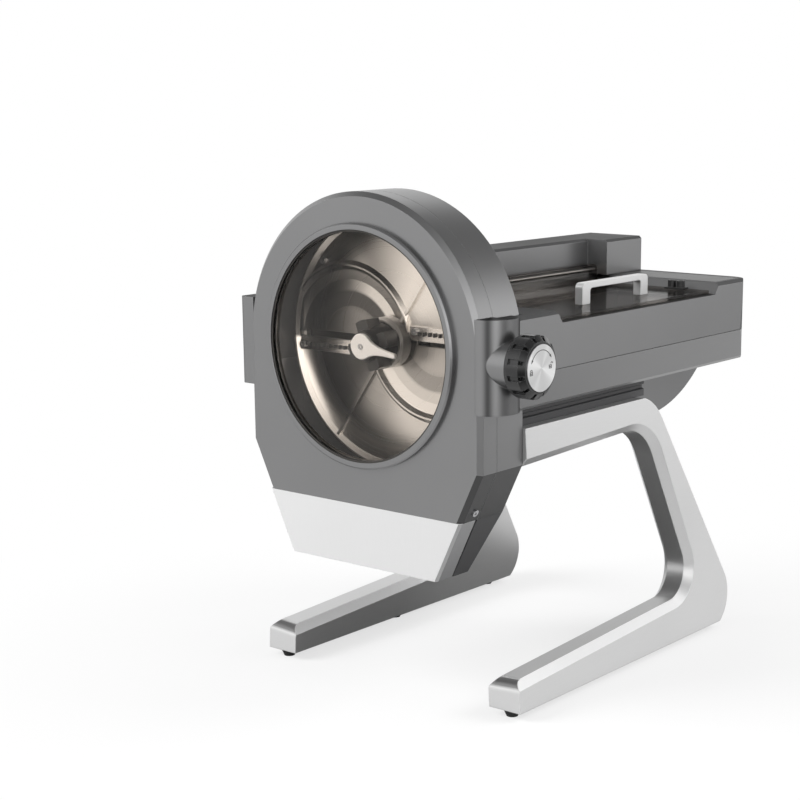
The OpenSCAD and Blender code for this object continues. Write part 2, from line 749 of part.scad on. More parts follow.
// Front view of the chute, drawn in by a wall and run past both ends.
module chute_front(wall, extra) {
  high = head_half_at(door_bottom_z + extra) - wall;
  low = head_half_at(chute_bottom_z - extra) - wall;
  polygon([[-high, door_bottom_z + extra], [high, door_bottom_z + extra],
    [low, chute_bottom_z - extra], [-low, chute_bottom_z - extra]]);
}

// Side view of the rear chute, whose back leans forward.
module chute_side(wall, extra) {
  lean = extra * lip_lean / chute_h;
  polygon([[rear_front_y - extra, chute_bottom_z - extra], [chute_lip_y - wall - lean, chute_bottom_z - extra],
    [head_depth - wall + lean, door_bottom_z + extra], [rear_front_y - extra, door_bottom_z + extra]]);
}

module rear_chute() color([0.2, 0.2, 0.21]) placed() difference() {
  intersection() {
    along_y(rear_front_y, head_depth) chute_front(0, 0);
    along_x(-head_half, head_half) chute_side(0, 0);
  }
  intersection() {
    along_y(rear_front_y - bite, head_depth) chute_front(rear_chute_wall, bite);
    along_x(-head_half, head_half) chute_side(rear_chute_wall, bite);
  }
}

module chute_plate() color([0.9, 0.9, 0.9]) placed() {
  difference() {
    funnel(0, 0, flange_depth, fold, chute_bottom_z, door_bottom_z);
    funnel(sheet_t, sheet_t, door_depth, fold - sheet_t / 2, chute_bottom_z - bite, door_bottom_z + bite);
  }
  box(-tongue_half, tongue_half, sheet_t / 2, head_wall + sheet_t, door_bottom_z - sheet_t, door_bottom_z);
  box(-tongue_half, tongue_half, head_wall, head_wall + sheet_t, door_bottom_z - sheet_t,
    door_bottom_z + tongue_h);
}

module chute_screws() color([0.7, 0.7, 0.7]) placed() {
  for (i = [-1 : 1]) rod_y(head_wall + sheet_t, head_wall + sheet_t + sheet_screw_h,
    i * tongue_half * 0.75, door_bottom_z + tongue_h / 2, sheet_screw_r);
  screw_z = door_bottom_z + tongue_h / 2;
  both_sides() translate([head_half_at(screw_z) + 0.02, door_depth * 0.64, screw_z])
    rotate([0, 90 + taper_angle, 0]) difference() {
      cylinder(h = sheet_screw_h, r = sheet_screw_r);
      translate([0, 0, sheet_screw_h]) socket_head(sheet_screw_h / 2, sheet_screw_r / 2);
    }
}

module latch_column() color([0.4, 0.4, 0.41]) placed() difference() {
  union() {
    intersection() {
      rod_z(block_bottom_z, block_top_z, column_x, column_r, column_r);
      box(seat_x, 2 * head_half, -bite, block_rear_y, block_bottom_z, block_top_z);
    }
    difference() {
      rod_x(seat_x, boss_end_x, knob_y, knob_z, boss_r);
      box(seat_x - bite, body_half + parting_gap, block_rear_y, head_depth, block_bottom_z, block_top_z);
    }
  }
  box(seat_x - bite, clear_x, door_depth, head_depth, block_bottom_z - bite, block_top_z + bite);
  rod_x(hook_x - hook_gap, boss_end_x + bite, knob_y, knob_z, lock_shaft_r + running_gap);
  box(hook_x - hook_gap, hook_x + hook_t + hook_gap, knob_y - hook_hub_r - 4 * hook_gap, head_depth,
    knob_z - hook_hub_r - hook_gap, knob_z + hook_reach + hook_gap);
}

module hinge_block() color([0.4, 0.4, 0.41]) placed() {
  along_z(block_bottom_z, block_top_z) rounded([[-body_half, 0], [-seat_x, 0], [-seat_x, door_depth],
    [-body_half, door_depth]], [block_round, 0.05, 0.05, block_round / 2]);
  for (z = [block_bottom_z, block_top_z - knuckle_h]) difference() {
    union() {
      rod_z(z, z + knuckle_h, hinge_x, hinge_y, knuckle_r);
      box(hinge_x - knuckle_r, hinge_x + knuckle_r, door_depth, hinge_y, z, z + knuckle_h);
    }
    rod_z(z - bite, z + knuckle_h + bite, hinge_x, hinge_y, hinge_pin_r + running_gap);
  }
}

module door_hinge_bracket() color([0.3, 0.3, 0.31]) placed() {
  low = block_bottom_z + knuckle_h + parting_gap;
  high = block_top_z - knuckle_h - parting_gap;
  difference() {
    union() {
      rod_z(low, high, hinge_x, hinge_y, knuckle_r);
      box(hinge_x - 0.2 * knuckle_r, hinge_x + 0.9 * knuckle_r, hinge_y, head_depth, low, high);
    }
    rod_z(low - bite, high + bite, hinge_x, hinge_y, hinge_pin_r);
  }
}

module door_hinge_pin() color([0.75, 0.75, 0.76]) placed()
  rod_z(block_bottom_z + bite, block_top_z - bite, hinge_x, hinge_y, hinge_pin_r);

module lock_grip() color([0.08, 0.08, 0.08]) placed() translate([knob_base_x, knob_y, knob_z])
  rotate([0, 90, 0]) difference() {
    union() {
      cylinder(h = 2, r = knob_r - knob_groove / 2);
      translate([0, 0, 2]) cylinder(h = knob_len - 7, r = knob_r);
      translate([0, 0, knob_len - 5]) cylinder(h = 4, r1 = knob_r, r2 = knob_face_r + 2);
    }
    for (i = [0 : knob_ribs - 1]) rotate(360 / knob_ribs * (i + 0.5)) {
      translate([knob_r - knob_groove, -groove_w / 2, 4]) cube([knob_r, groove_w, knob_len]);
      translate([knob_r - 3 * knob_groove, -groove_w / 3, knob_len - 6])
        cube([knob_r, groove_w / 1.5, knob_len]);
    }
    translate([0, 0, -bite]) cylinder(h = 4 + bite, r = lock_shaft_r);
    translate([0, 0, knob_len - knob_face_t]) cylinder(h = knob_face_t + bite, r = knob_face_r);
  }

module lock_face() color([0.85, 0.85, 0.86]) placed()
  rod_x(knob_face_x - knob_face_t, knob_face_x, knob_y, knob_z, knob_face_r);

module lock_shaft() color([0.7, 0.7, 0.71]) placed()
  rod_x(hook_x - hook_gap / 2, knob_base_x + 4, knob_y, knob_z, lock_shaft_r);

// Hook drawn unlocked, standing up inside the column; a quarter turn swings it behind the strike pin.
module lock_hook() color([0.72, 0.72, 0.73]) placed() along_x(hook_x, hook_x + hook_t)
  translate([knob_y, knob_z]) rotate(90) difference() {
    union() {
      circle(hook_hub_r);
      translate([0, strike_r + 1]) square([hook_reach - strike_r, hook_hub_r - strike_r - 1]);
      intersection() {
        circle(hook_reach);
        polygon([[0, 0], [2 * hook_reach, -0.4 * hook_reach], [2 * hook_reach, 0.8 * hook_reach]]);
      }
    }
    circle(lock_shaft_r);
    difference() {
      translate([hook_hub_r - 2, -hook_reach]) square([strike_y - knob_y + strike_r + hook_gap - hook_hub_r + 2,
        hook_reach + strike_r + 1]);
      circle(hook_hub_r);
    }
  }

module latch_strike() color([0.65, 0.65, 0.66]) placed() {
  box(head_half, head_half + strike_t, body_front_y + 2, head_depth, knob_z - hook_hub_r, knob_z + hook_hub_r);
  rod_x(head_half, hook_x + hook_t + hook_gap / 2, strike_y, knob_z, strike_r);
}

// Plan outline of the body with rounded rear corners.
module body_plan(inset) {
  half = body_half - inset;
  rear = body_rear_y - inset;
  rounded([[-half, body_front_y], [half, body_front_y], [half, rear], [-half, rear]],
    [0.05, 0.05, body_corner_r - inset, body_corner_r - inset]);
}

// Cross-section of one body shell: drafted sides and a bevelled long edge.
module shell_section(wide_z, narrow_z, draft, inset) {
  wide = body_half - inset;
  narrow = body_half - draft - inset;
  up = sign(narrow_z - wide_z);
  end = narrow_z - up * inset;
  polygon([[-wide, wide_z], [wide, wide_z], [narrow, end - up * body_edge], [narrow - body_edge, end],
    [-narrow + body_edge, end], [-narrow, end - up * body_edge]]);
}

module hollow_shell(wide_z, narrow_z, draft) {
  low = min(wide_z, narrow_z);
  high = max(wide_z, narrow_z);
  difference() {
    intersection() {
      along_y(body_front_y, body_rear_y + bite) shell_section(wide_z, narrow_z, draft, 0);
      along_z(low, high) body_plan(0);
    }
    shell_hollow(wide_z, narrow_z, draft);
  }
}

module shell_hollow(wide_z, narrow_z, draft) {
  low = min(wide_z, narrow_z) - bite;
  high = max(wide_z, narrow_z) + bite;
  intersection() {
    union() {
      along_y(body_front_y - bite, body_rear_y) shell_section(wide_z, narrow_z, draft, body_wall);
      box(-body_half + body_wall, body_half - body_wall, body_front_y - bite, body_rear_y,
        wide_z - bite, wide_z + bite);
    }
    along_z(low, high) translate([0, -bite]) body_plan(body_wall);
  }
}

// The trapezoid that sinks the loading area into the top, seen from the side.
module recess_side(drop, spread) polygon([[recess_front_y - spread, recess_z - drop],
  [recess_rear_y + spread, recess_z - drop], [recess_rear_y + spread + recess_lean, body_top_z + bite],
  [recess_front_y - spread - recess_lean, body_top_z + bite]]);

module head_clearance() box(-clear_x, clear_x, 0, shell_front_y, 0, 2 * axis_z);
module boss_recess() rod_x(body_half - 2, 2 * body_half, knob_y, knob_z, boss_r + 8);
module deck_area(gap, z0, z1) box(rear_block_x + deck_margin / 2 + gap, body_half - deck_margin - gap,
  recess_rear_y + recess_lean + deck_margin / 2 + gap, body_rear_y - deck_margin - gap, z0, z1);

module upper_body_shell() color([0.5, 0.5, 0.51]) placed() difference() {
  union() {
    hollow_shell(upper_bottom_z, body_top_z, upper_draft);
    intersection() {
      along_y(body_front_y, body_rear_y) shell_section(upper_bottom_z, body_top_z, upper_draft, body_wall / 2);
      along_x(tower_right_x - body_wall, 2 * body_half) recess_side(body_wall, body_wall);
    }
  }
  along_x(tower_right_x, 2 * body_half) recess_side(0, 0);
  box(trough_left_x, trough_right_x, recess_front_y + trough_back, trough_rear_y, recess_under_z - bite,
    body_top_z);
  box(tower_left_x + 2 * body_wall, tower_right_x - 2 * body_wall - 2, shell_front_y + 50,
    tower_rear_y - 3 * body_wall, body_top_z - body_wall - bite, body_top_z + bite);
  deck_area(0, body_top_z - deck_t, body_top_z + bite);
  head_clearance();
  boss_recess();
}

module lower_body_shell() color([0.46, 0.46, 0.47]) placed() difference() {
  hollow_shell(lower_top_z, body_bottom_z, lower_draft);
  box(motor_x - motor_r - 2, trough_left_x - bearing_t - 2, cowl_front_y + body_wall, rear_roller_y + 50,
    body_bottom_z - bite, floor_z + bite);
  both_sides() for (y = bolt_rows) rod_z(body_bottom_z - bite, floor_z + bite, bolt_x, y, bolt_r + screw_gap);
  insert_body(inlet_x, inlet_w, fit_gap, -insert_depth, bite);
  insert_body(switch_x, switch_w, fit_gap, -insert_depth, bite);
  head_clearance();
  boss_recess();
}

// Underside of the cowl: a long flat front part that sweeps up to the rear.
module cowl_side(inset) {
  intersection() {
    translate([cowl_sweep_y, cowl_sweep_z]) circle(cowl_sweep_r - inset);
    translate([cowl_front_y + inset, cowl_bottom_z + inset]) square([body_len, cowl_depth - inset]);
  }
  translate([cowl_front_y + inset, cowl_bottom_z + inset])
    square([cowl_sweep_y - cowl_front_y - inset, cowl_depth - inset]);
}

module motor_cowl() color([0.3, 0.3, 0.31]) placed() difference() {
  along_x(-cowl_half, cowl_half) cowl_side(0);
  along_x(-cowl_half + body_wall, cowl_half - body_wall) cowl_side(body_wall);
  box(-cowl_half + body_wall, cowl_half - body_wall, cowl_front_y + body_wall, cowl_sweep_y + cowl_sweep_r / 2,
    body_bottom_z - body_wall, body_bottom_z + bite);
  for (i = [0 : vent_count - 1]) translate([(i - (vent_count - 1) / 2) * 3 * vent_w, 0, 0])
    box(-vent_w / 2, vent_w / 2, cowl_sweep_y - vent_start, cowl_sweep_y - vent_start + vent_len,
      cowl_bottom_z - bite, cowl_bottom_z + body_wall + bite);
}

// Cross-section of the tower, drawn in by a wall.
module tower_section(right, inset) {
  foot = body_top_z - (inset > 0 ? bite : 0);
  top = tower_top_z - inset;
  left = tower_left_x + inset;
  polygon([[left, foot], [right - inset, foot], [right - inset, top - tower_edge],
    [right - inset - tower_edge, top], [left + tower_edge, top], [left, top - tower_edge]]);
}

module hinge_tower() color([0.5, 0.5, 0.51]) placed() difference() {
  union() {
    along_y(shell_front_y, tower_rear_y) tower_section(tower_right_x, 0);
    along_y(rear_block_y, tower_rear_y) tower_section(rear_block_x, 0);
  }
  along_y(shell_front_y + body_wall, tower_rear_y - body_wall) tower_section(tower_right_x, body_wall);
  along_y(rear_block_y + body_wall, tower_rear_y - body_wall) tower_section(rear_block_x, body_wall);
  rod_y(rear_block_y - bite, rear_block_y + body_wall + bite, lid_axis_x, lid_axis_z, lid_rod_r);
}

module deck_panel() color([0.12, 0.12, 0.13]) placed() deck_area(deck_gap, body_top_z - deck_t, body_top_z);

module bulkhead() color([0.6, 0.6, 0.61]) placed() difference() {
  half = body_half - max(upper_draft, lower_draft) - body_wall - body_edge - parting_gap;
  box(-half, half, head_depth, bulkhead_rear_y, floor_z, body_top_z - body_wall - parting_gap);
  feed_opening(head_depth - bite, bulkhead_rear_y + bite);
  shaft_opening(head_depth - bite, bulkhead_rear_y + bite);
}

module trough_liner() color([0.78, 0.78, 0.79]) placed() difference() {
  box(trough_left_x, trough_right_x, bulkhead_rear_y, trough_rear_y, floor_z, recess_under_z);
  box(trough_left_x + liner_t, trough_right_x - liner_t, bulkhead_rear_y - bite, trough_rear_y - liner_t,
    floor_z - bite, recess_under_z + bite);
  for (y = [front_roller_y, rear_roller_y])
    rod_x(trough_left_x - bite, trough_right_x + bite, y, roller_z, journal_r + liner_t);
}

// Closed loop around two equal wheels, seen from the side.
module belt_side(r) {
  for (y = [front_roller_y, rear_roller_y]) translate([y, roller_z]) circle(r);
  translate([front_roller_y, roller_z - r]) square([rear_roller_y - front_roller_y, 2 * r]);
}

module feed_belt() color([0.16, 0.2, 0.18]) placed()
  along_x(trough_left_x + belt_side_gap, trough_right_x - belt_side_gap) difference() {
    belt_side(roller_r + belt_gap + belt_t);
    belt_side(roller_r + belt_gap);
  }

module roller_bearings() color([0.55, 0.55, 0.56]) placed()
  for (y = [front_roller_y, rear_roller_y]) for (x = [trough_left_x - bearing_t, trough_right_x]) difference() {
    box(x, x + bearing_t, y - bearing_half, y + bearing_half, floor_z, roller_z + bearing_half);
    rod_x(x - bite, x + bearing_t + bite, y, roller_z, journal_r + running_gap);
  }

module roller(y, left) {
  rod_x(trough_left_x + belt_side_gap - 1, trough_right_x - belt_side_gap + 1, y, roller_z, roller_r);
  rod_x(left, trough_right_x + bearing_t - 1, y, roller_z, journal_r);
}

module front_roller() color([0.7, 0.7, 0.71]) placed() roller(front_roller_y, trough_left_x - bearing_t + 1);
module rear_roller() color([0.7, 0.7, 0.71]) placed() roller(rear_roller_y, trough_left_x - bearing_t - 8);

module feed_motor() color([0.35, 0.35, 0.36]) placed() difference() {
  gear_x = trough_left_x - bearing_t;
  axle_z = roller_z + feed_motor_r / 4;
  union() {
    box(gear_x - gear_w, gear_x, rear_roller_y - gear_half, rear_roller_y + gear_half, floor_z + bite,
      roller_z + gear_half);
    rod_x(gear_x - gear_w - feed_motor_len, gear_x - gear_w, rear_roller_y, axle_z, feed_motor_r);
    rod_x(gear_x - gear_w - feed_motor_len - 4, gear_x - gear_w, rear_roller_y, axle_z, 0.6 * feed_motor_r);
  }
  rod_x(gear_x - 10, gear_x + bite, rear_roller_y, roller_z, journal_r + running_gap);
}

module drive_motor() color([0.28, 0.3, 0.33]) placed() difference() {
  cap = 16;
  rear = motor_front_y + motor_len;
  union() {
    rod_y(motor_front_y, motor_front_y + cap, motor_x, motor_z, motor_r);
    rod_y(motor_front_y + cap, rear - cap, motor_x, motor_z, motor_r - 2);
    rod_y(rear - cap, rear, motor_x, motor_z, motor_r);
  }
  for (a = [0 : 30 : 330]) translate([motor_x, 0, motor_z]) rotate([0, a, 0])
    box(motor_r - 5, motor_r, motor_front_y + 1.4 * cap, rear - 1.4 * cap, -1.5, 1.5);
  rod_y(motor_front_y - bite, motor_front_y + 2.5 * cap, motor_x, motor_z, motor_shaft_r + running_gap);
}

module motor_bracket() color([0.55, 0.55, 0.56]) placed() difference() {
  left = -body_half + 4 * body_wall;
  front = motor_front_y - plate_t;
  union() {
    box(left, trough_left_x - plate_t, front, motor_front_y, floor_z, axis_z + shaft_r + plate_t);
    box(motor_x - motor_r + 2, motor_x + motor_r - 2, front, motor_front_y, motor_z - motor_r + 2, floor_z);
    box(left, motor_x - motor_r - 4, motor_front_y, motor_front_y + 4 * plate_t, floor_z, floor_z + plate_t);
  }
  rod_y(front - bite, motor_front_y + bite, motor_x, motor_z, motor_shaft_r + 4);
  rod_y(front - bite, motor_front_y + bite, 0, axis_z, shaft_r + running_gap);
}

module main_shaft() color([0.75, 0.75, 0.76]) placed() {
  rod_y(disc_y - hub_floor, shaft_rear_y, 0, axis_z, shaft_r);
  rod_y(hub_front_y - clamp_len / 3, disc_y - hub_floor, 0, axis_z, stud_r);
  rod_y(wheel_y + wheel_w + wheel_rim, wheel_y + wheel_w + wheel_rim + 4, 0, axis_z, shaft_r + 3);
}

module shaft_bearing() color([0.5, 0.5, 0.52]) placed() difference() {
  union() {
    rod_y(bulkhead_rear_y, bulkhead_rear_y + plate_t, 0, axis_z, hub_bearing_r + plate_t);
    rod_y(bulkhead_rear_y + plate_t, bulkhead_rear_y + hub_bearing_len, 0, axis_z, hub_bearing_r);
  }
  rod_y(head_depth, bulkhead_rear_y + hub_bearing_len + bite, 0, axis_z, shaft_r + running_gap);
}

// Flanged belt wheel.
module wheel(x, z, r) {
  rod_y(wheel_y, wheel_y + wheel_w, x, z, r);
  rod_y(wheel_y - wheel_rim, wheel_y, x, z, r + wheel_rim);
  rod_y(wheel_y + wheel_w, wheel_y + wheel_w + wheel_rim, x, z, r + wheel_rim);
}

module large_wheel() color([0.3, 0.3, 0.3]) placed() difference() {
  wheel(0, axis_z, large_wheel_r);
  rod_y(wheel_y - 2 * wheel_rim, wheel_y + wheel_w + 2 * wheel_rim, 0, axis_z, shaft_r);
}

module motor_wheel() color([0.3, 0.3, 0.3]) placed() {
  wheel(motor_x, motor_z, small_wheel_r);
  rod_y(wheel_y - 2 * wheel_rim, motor_front_y + motor_shaft_len, motor_x, motor_z, motor_shaft_r);
}

// Loop around the two unequal belt wheels, its straight runs touching both circles.
module drive_loop(y0, y1, grow) {
  a = [motor_x, motor_z];
  b = [0, axis_z];
  line = unit(b - a);
  side = [-line[1], line[0]];
  lean = (large_wheel_r - small_wheel_r) / norm(b - a);
  lift = sqrt(1 - lean * lean);
  up = side * lift - line * lean;
  down = -side * lift - line * lean;
  small = small_wheel_r + grow;
  large = large_wheel_r + grow;
  rod_y(y0, y1, a[0], a[1], small);
  rod_y(y0, y1, b[0], b[1], large);
  along_y(y0, y1) polygon([a + up * (small - inside), b + up * (large - inside), b + down * (large - inside),
    a + down * (small - inside)]);
}

module drive_belt() color([0.05, 0.05, 0.05]) placed() difference() {
  drive_loop(wheel_y + bite, wheel_y + wheel_w - bite, belt_gap + drive_belt_t);
  drive_loop(wheel_y, wheel_y + wheel_w, belt_gap);
}

// Stepped hollow of one pocket, open in front of its blade.
module pocket_hollow() {
  lip = ridge_r - ridge_w;
  translate([-pocket_x, 0, axis_z - pocket_z]) intersection() {
    rotate([90, 0, 0]) rotate_extrude() polygon([[0, bite - disc_y], [lip, bite - disc_y], [lip, -disc_y],
      [lip - 9, -disc_y - 0.55 * pocket_drop], [lip - 19, -disc_y - 0.66 * pocket_drop],
      [lip - 33, -disc_y - 0.92 * pocket_drop], [0, -disc_y - pocket_drop]]);
    box(-ridge_r, ridge_r, 0, 2 * disc_y, blade_edge, ridge_r);
  }
}

// Raised ridge that runs from the rim over the pocket to the hub.
module pocket_ridge() intersection() {
  translate([-pocket_x, 0, axis_z - pocket_z]) rotate([90, 0, 0]) rotate_extrude() polygon([
    [ridge_r - ridge_w, -disc_y - bite], [ridge_r + ridge_w, -disc_y - bite], [ridge_r + ridge_w, -disc_y],
    [ridge_r + 0.2 * ridge_w, 0.8 * rim_raise - disc_y], [ridge_r - 0.2 * ridge_w, 0.8 * rim_raise - disc_y],
    [ridge_r - ridge_w, -disc_y]]);
  rod_y(0, 2 * disc_y, 0, axis_z, disc_r - 1);
  box(-disc_r, 0.9 * hub_r, 0, 2 * disc_y, axis_z, axis_z + disc_r);
}

module cutter_disc() color([0.78, 0.77, 0.76]) placed() difference() {
  union() {
    rod_y(disc_y, disc_back_y, 0, axis_z, disc_r);
    difference() {
      rod_y(disc_y - rim_raise, disc_y, 0, axis_z, disc_r);
      cone_y(disc_y - rim_raise - bite, disc_y, 0, axis_z, disc_r - 0.7, disc_r - rim_w);
    }
    both_pockets() pocket_ridge();
    for (a = [rib_angle, rib_angle + 180]) translate([0, 0, axis_z]) rotate([0, -a, 0])
      box(hub_r - 2, disc_r - 2, disc_y - 0.65 * rim_raise, disc_y + bite, -1.4, 1.4);
  }
  both_pockets() {
    pocket_hollow();
    box(8 - disc_r, -hub_r - 3, 0, 2 * disc_y, edge_z, edge_z + slot_w);
    box(rim_w - disc_r, -hub_r - 1, 0, disc_y, edge_z - blade_w - screw_gap, edge_z);
  }
  rod_y(0, disc_back_y + bite, 0, axis_z, shaft_r);
  rod_y(0, disc_y, 0, axis_z, hub_r);
}

module slicing_blades() color([0.85, 0.84, 0.83]) placed() both_pockets()
  along_x(rim_w + 1 - disc_r, -hub_r - 1.2) translate([0, edge_z])
  polygon([[disc_y, -blade_w], [disc_y - blade_t, -blade_w], [disc_y - blade_t, -3.5], [disc_y - 0.8, 1.5],
    [disc_y, 1.5]]);

module blade_combs() color([0.25, 0.25, 0.25]) placed() both_pockets()
  for (i = [0 : comb_teeth - 1]) translate([comb_x + i * comb_pitch, disc_y - blade_t, edge_z])
    box(0, comb_tooth, -2.2, 0, 4 - blade_w, -3.6);

module blade_screw(x, y, z) translate([x, y, z]) rotate([90, 0, 0]) difference() {
  cylinder(h = blade_screw_h, r = blade_screw_r);
  translate([0, 0, blade_screw_h]) socket_head(blade_screw_r / 2, blade_screw_h / 2);
}

module blade_screws() color([0.6, 0.6, 0.6]) placed() both_pockets() {
  for (x = [outer_screw_x, inner_screw_x]) blade_screw(x, disc_y - blade_t, edge_z - 0.6 * blade_w);
  far = disc_r - rim_w - 1.7 * blade_screw_r;
  blade_screw(far * cos(rim_screw_angle), disc_y, axis_z + far * sin(rim_screw_angle));
}

module hub_ring() color([0.72, 0.71, 0.7]) placed() difference() {
  union() {
    rod_y(hub_front_y + 2, disc_y, 0, axis_z, hub_r);
    cone_y(hub_front_y, hub_front_y + 2, 0, axis_z, hub_r - 2, hub_r);
  }
  rod_y(0, disc_y - hub_floor, 0, axis_z, clamp_r + clamp_gap);
  rod_y(0, disc_y + bite, 0, axis_z, shaft_r);
}

module clamp_knob() color([0.06, 0.06, 0.06]) placed() difference() {
  union() {
    cone_y(clamp_front_y, hub_front_y - 2, 0, axis_z, clamp_r - clamp_taper, clamp_r);
    rod_y(hub_front_y - 2, clamp_rear_y, 0, axis_z, clamp_r);
    for (a = [20 : 90 : 290]) translate([0, 0, axis_z]) rotate([0, -a, 0]) intersection() {
      box(clamp_r / 2, wing_r + 2, clamp_front_y + 6, hub_front_y - 3, -wing_w / 2, wing_w / 2);
      rod_y(0, disc_y, 0, 0, wing_r);
    }
  }
  rod_y(hub_front_y - clamp_len / 3 - bite, disc_y, 0, axis_z, stud_r + running_gap);
  rod_y(0, clamp_front_y + 6, 0, axis_z, lever_screw_r);
}

// Teardrop lever: a round head whose sides run straight to a small round tip.
module clamp_lever() color([0.88, 0.88, 0.88]) placed() translate([0, 0, axis_z]) rotate([0, 8, 0])
difference() {
  lean = (lever_r - lever_tip_r) / lever_reach;
  lift = sqrt(1 - lean * lean);
  head = lever_r - inside;
  tip = lever_tip_r - inside;
  union() {
    rod_y(clamp_front_y - lever_t, clamp_front_y, 0, 0, lever_r);
    rod_y(clamp_front_y - lever_t, clamp_front_y, lever_reach, 0, lever_tip_r);
    along_y(clamp_front_y - lever_t, clamp_front_y) polygon([[lean * head, lift * head],
      [lever_reach + lean * tip, lift * tip], [lever_reach + lean * tip, -lift * tip],
      [lean * head, -lift * head]]);
  }
  rod_y(0, disc_y, 0, 0, lever_screw_r);
}

module clamp_screw() color([0.4, 0.4, 0.4]) placed() difference() {
  rod_y(clamp_front_y - lever_t - 0.6, clamp_front_y + 6, 0, axis_z, lever_screw_r);
  translate([0, clamp_front_y - lever_t - 0.6, axis_z]) rotate([90, 0, 0]) socket_head(1.6, lever_screw_r / 2);
}

module lid_panel() color([0.25, 0.24, 0.22, 0.6]) placed() difference() {
  web = lid_axis_x + 1.6;
  edge = lid_axis_x + lid_tube_r;
  union() {
    box(edge, lid_right_x, lid_front_y, lid_rear_y, lid_low_z, lid_top_z);
    along_y(lid_front_y, lid_rear_y) polygon([[web, lid_low_z], [edge + 1, lid_low_z], [edge + 1, lid_top_z],
      [edge - 0.4, lid_axis_z], [web, lid_axis_z]]);
    rod_y(lid_front_y, lid_rear_y, lid_axis_x, lid_axis_z, lid_tube_r);
  }
  rod_y(lid_front_y - bite, lid_rear_y + bite, lid_axis_x, lid_axis_z, lid_rod_r + running_gap);
  box(catch_right_x - catch_w / 2, catch_right_x, lid_front_y + catch_len / 3, lid_front_y + catch_len / 2,
    lid_low_z - bite, lid_top_z + bite);
  handle_holes(lid_low_z - bite, lid_top_z + bite, handle_screw_r + screw_gap);
  handle_holes(lid_low_z - bite, lid_low_z + lid_t / 2, 2 * handle_screw_r + screw_gap);
}

module handle_holes(z0, z1, r) for (y = [handle_leg / 2, handle_len - handle_leg / 2])
  rod_z(z0, z1, handle_x, handle_front_y + y, r);

module lid_handle() color([0.85, 0.85, 0.86]) placed() difference() {
  rear = handle_front_y + handle_len;
  along_x(handle_x - handle_w / 2, handle_x + handle_w / 2) difference() {
    rounded([[handle_front_y, lid_top_z], [rear, lid_top_z], [rear, handle_top_z],
      [handle_front_y, handle_top_z]], [0.05, 0.05, handle_bar, handle_bar]);
    rounded([[handle_front_y + handle_leg, lid_top_z - handle_bar], [rear - handle_leg, lid_top_z - handle_bar],
      [rear - handle_leg, handle_top_z - handle_bar], [handle_front_y + handle_leg, handle_top_z - handle_bar]],
      [0.05, 0.05, 3, 3]);
  }
  handle_holes(lid_top_z - bite, lid_top_z + handle_h / 2, handle_screw_r + screw_gap / 4);
}

module lid_catch() color([0.6, 0.6, 0.6]) placed() difference() {
  rear = lid_rear_y - 1;
  row = [catch_right_x - 0.74 * catch_w, catch_right_x - 0.26 * catch_w];
  union() {
    box(catch_right_x - catch_w, catch_right_x, rear - catch_len, rear, lid_top_z, lid_top_z + catch_h / 5);
    for (x = row) rod_z(lid_top_z, lid_top_z + catch_h, x, rear - catch_len / 2, 0.2 * catch_w);
  }
  for (x = row)
    rod_z(lid_top_z + catch_h / 2, lid_top_z + catch_h + bite, x, rear - catch_len / 2, 0.1 * catch_w);
}

module handle_screws() color([0.5, 0.5, 0.5]) placed() {
  handle_holes(lid_low_z, lid_low_z + lid_t / 2, 2 * handle_screw_r);
  handle_holes(lid_low_z + lid_t / 2, lid_top_z + handle_h / 2 - bite, handle_screw_r);
}

module lid_hinge_rod() color([0.7, 0.7, 0.71]) placed()
  rod_y(post_rear_y - post_t, rear_block_y + body_wall, lid_axis_x, lid_axis_z, lid_rod_r);

module lid_hinge_post() color([0.45, 0.45, 0.46]) placed() difference() {
  union() {
    rod_y(post_rear_y - post_t, post_rear_y, lid_axis_x, lid_axis_z, lid_tube_r - lid_gap);
    box(lid_axis_x - lid_tube_r + lid_gap, lid_axis_x + lid_tube_r - lid_gap, post_rear_y - post_t, post_rear_y,
      body_top_z, lid_axis_z);
  }
  rod_y(post_rear_y - post_t - bite, post_rear_y + bite, lid_axis_x, lid_axis_z, lid_rod_r);
}

module body_screws() color([0.5, 0.5, 0.5]) placed() both_sides() for (y = [rail_rear() + 20, body_rear_y - 25])
  rod_z(body_bottom_z - 1.8, body_bottom_z, body_half - 28, y, 4.5);

// Body of a rear fitting, from one depth to another behind the rear face.
module insert_body(x, w, gap, y0, y1) box(x - w / 2 - gap, x + w / 2 + gap, body_rear_y + y0, body_rear_y + y1,
  insert_z - insert_h / 2 - gap, insert_z + insert_h / 2 + gap);

module insert_shell(x, w, flange, wall) difference() {
  union() {
    insert_body(x, w, flange / 2 + fit_gap, 0, flange_t);
    insert_body(x, w, 0, -insert_depth, flange_t);
  }
  insert_body(x, w, -wall, 2 - insert_depth, flange_t + bite);
}

module mains_inlet() color([0.07, 0.07, 0.07]) placed() insert_shell(inlet_x, inlet_w, inlet_flange, 2);
module switch_frame() color([0.07, 0.07, 0.07]) placed() insert_shell(switch_x, switch_w, switch_flange, 1.6);

module switch_rocker() color([0.5, 0.05, 0.05]) placed() {
  half = insert_h / 2 - 3.2;
  rocker_y = body_rear_y - 5;
  rod_x(switch_x - switch_w / 2 + 2.1, switch_x + switch_w / 2 - 2.1, rocker_y, insert_z, half - 2.4);
  along_x(switch_x - switch_w / 2 + 2.1, switch_x + switch_w / 2 - 2.1) translate([rocker_y, insert_z])
    rotate(-rocker_tilt) polygon([[0, 2.4 - half], [5.6, -half], [6.2, 0], [5.6, half], [0, half - 2.4]]);
}

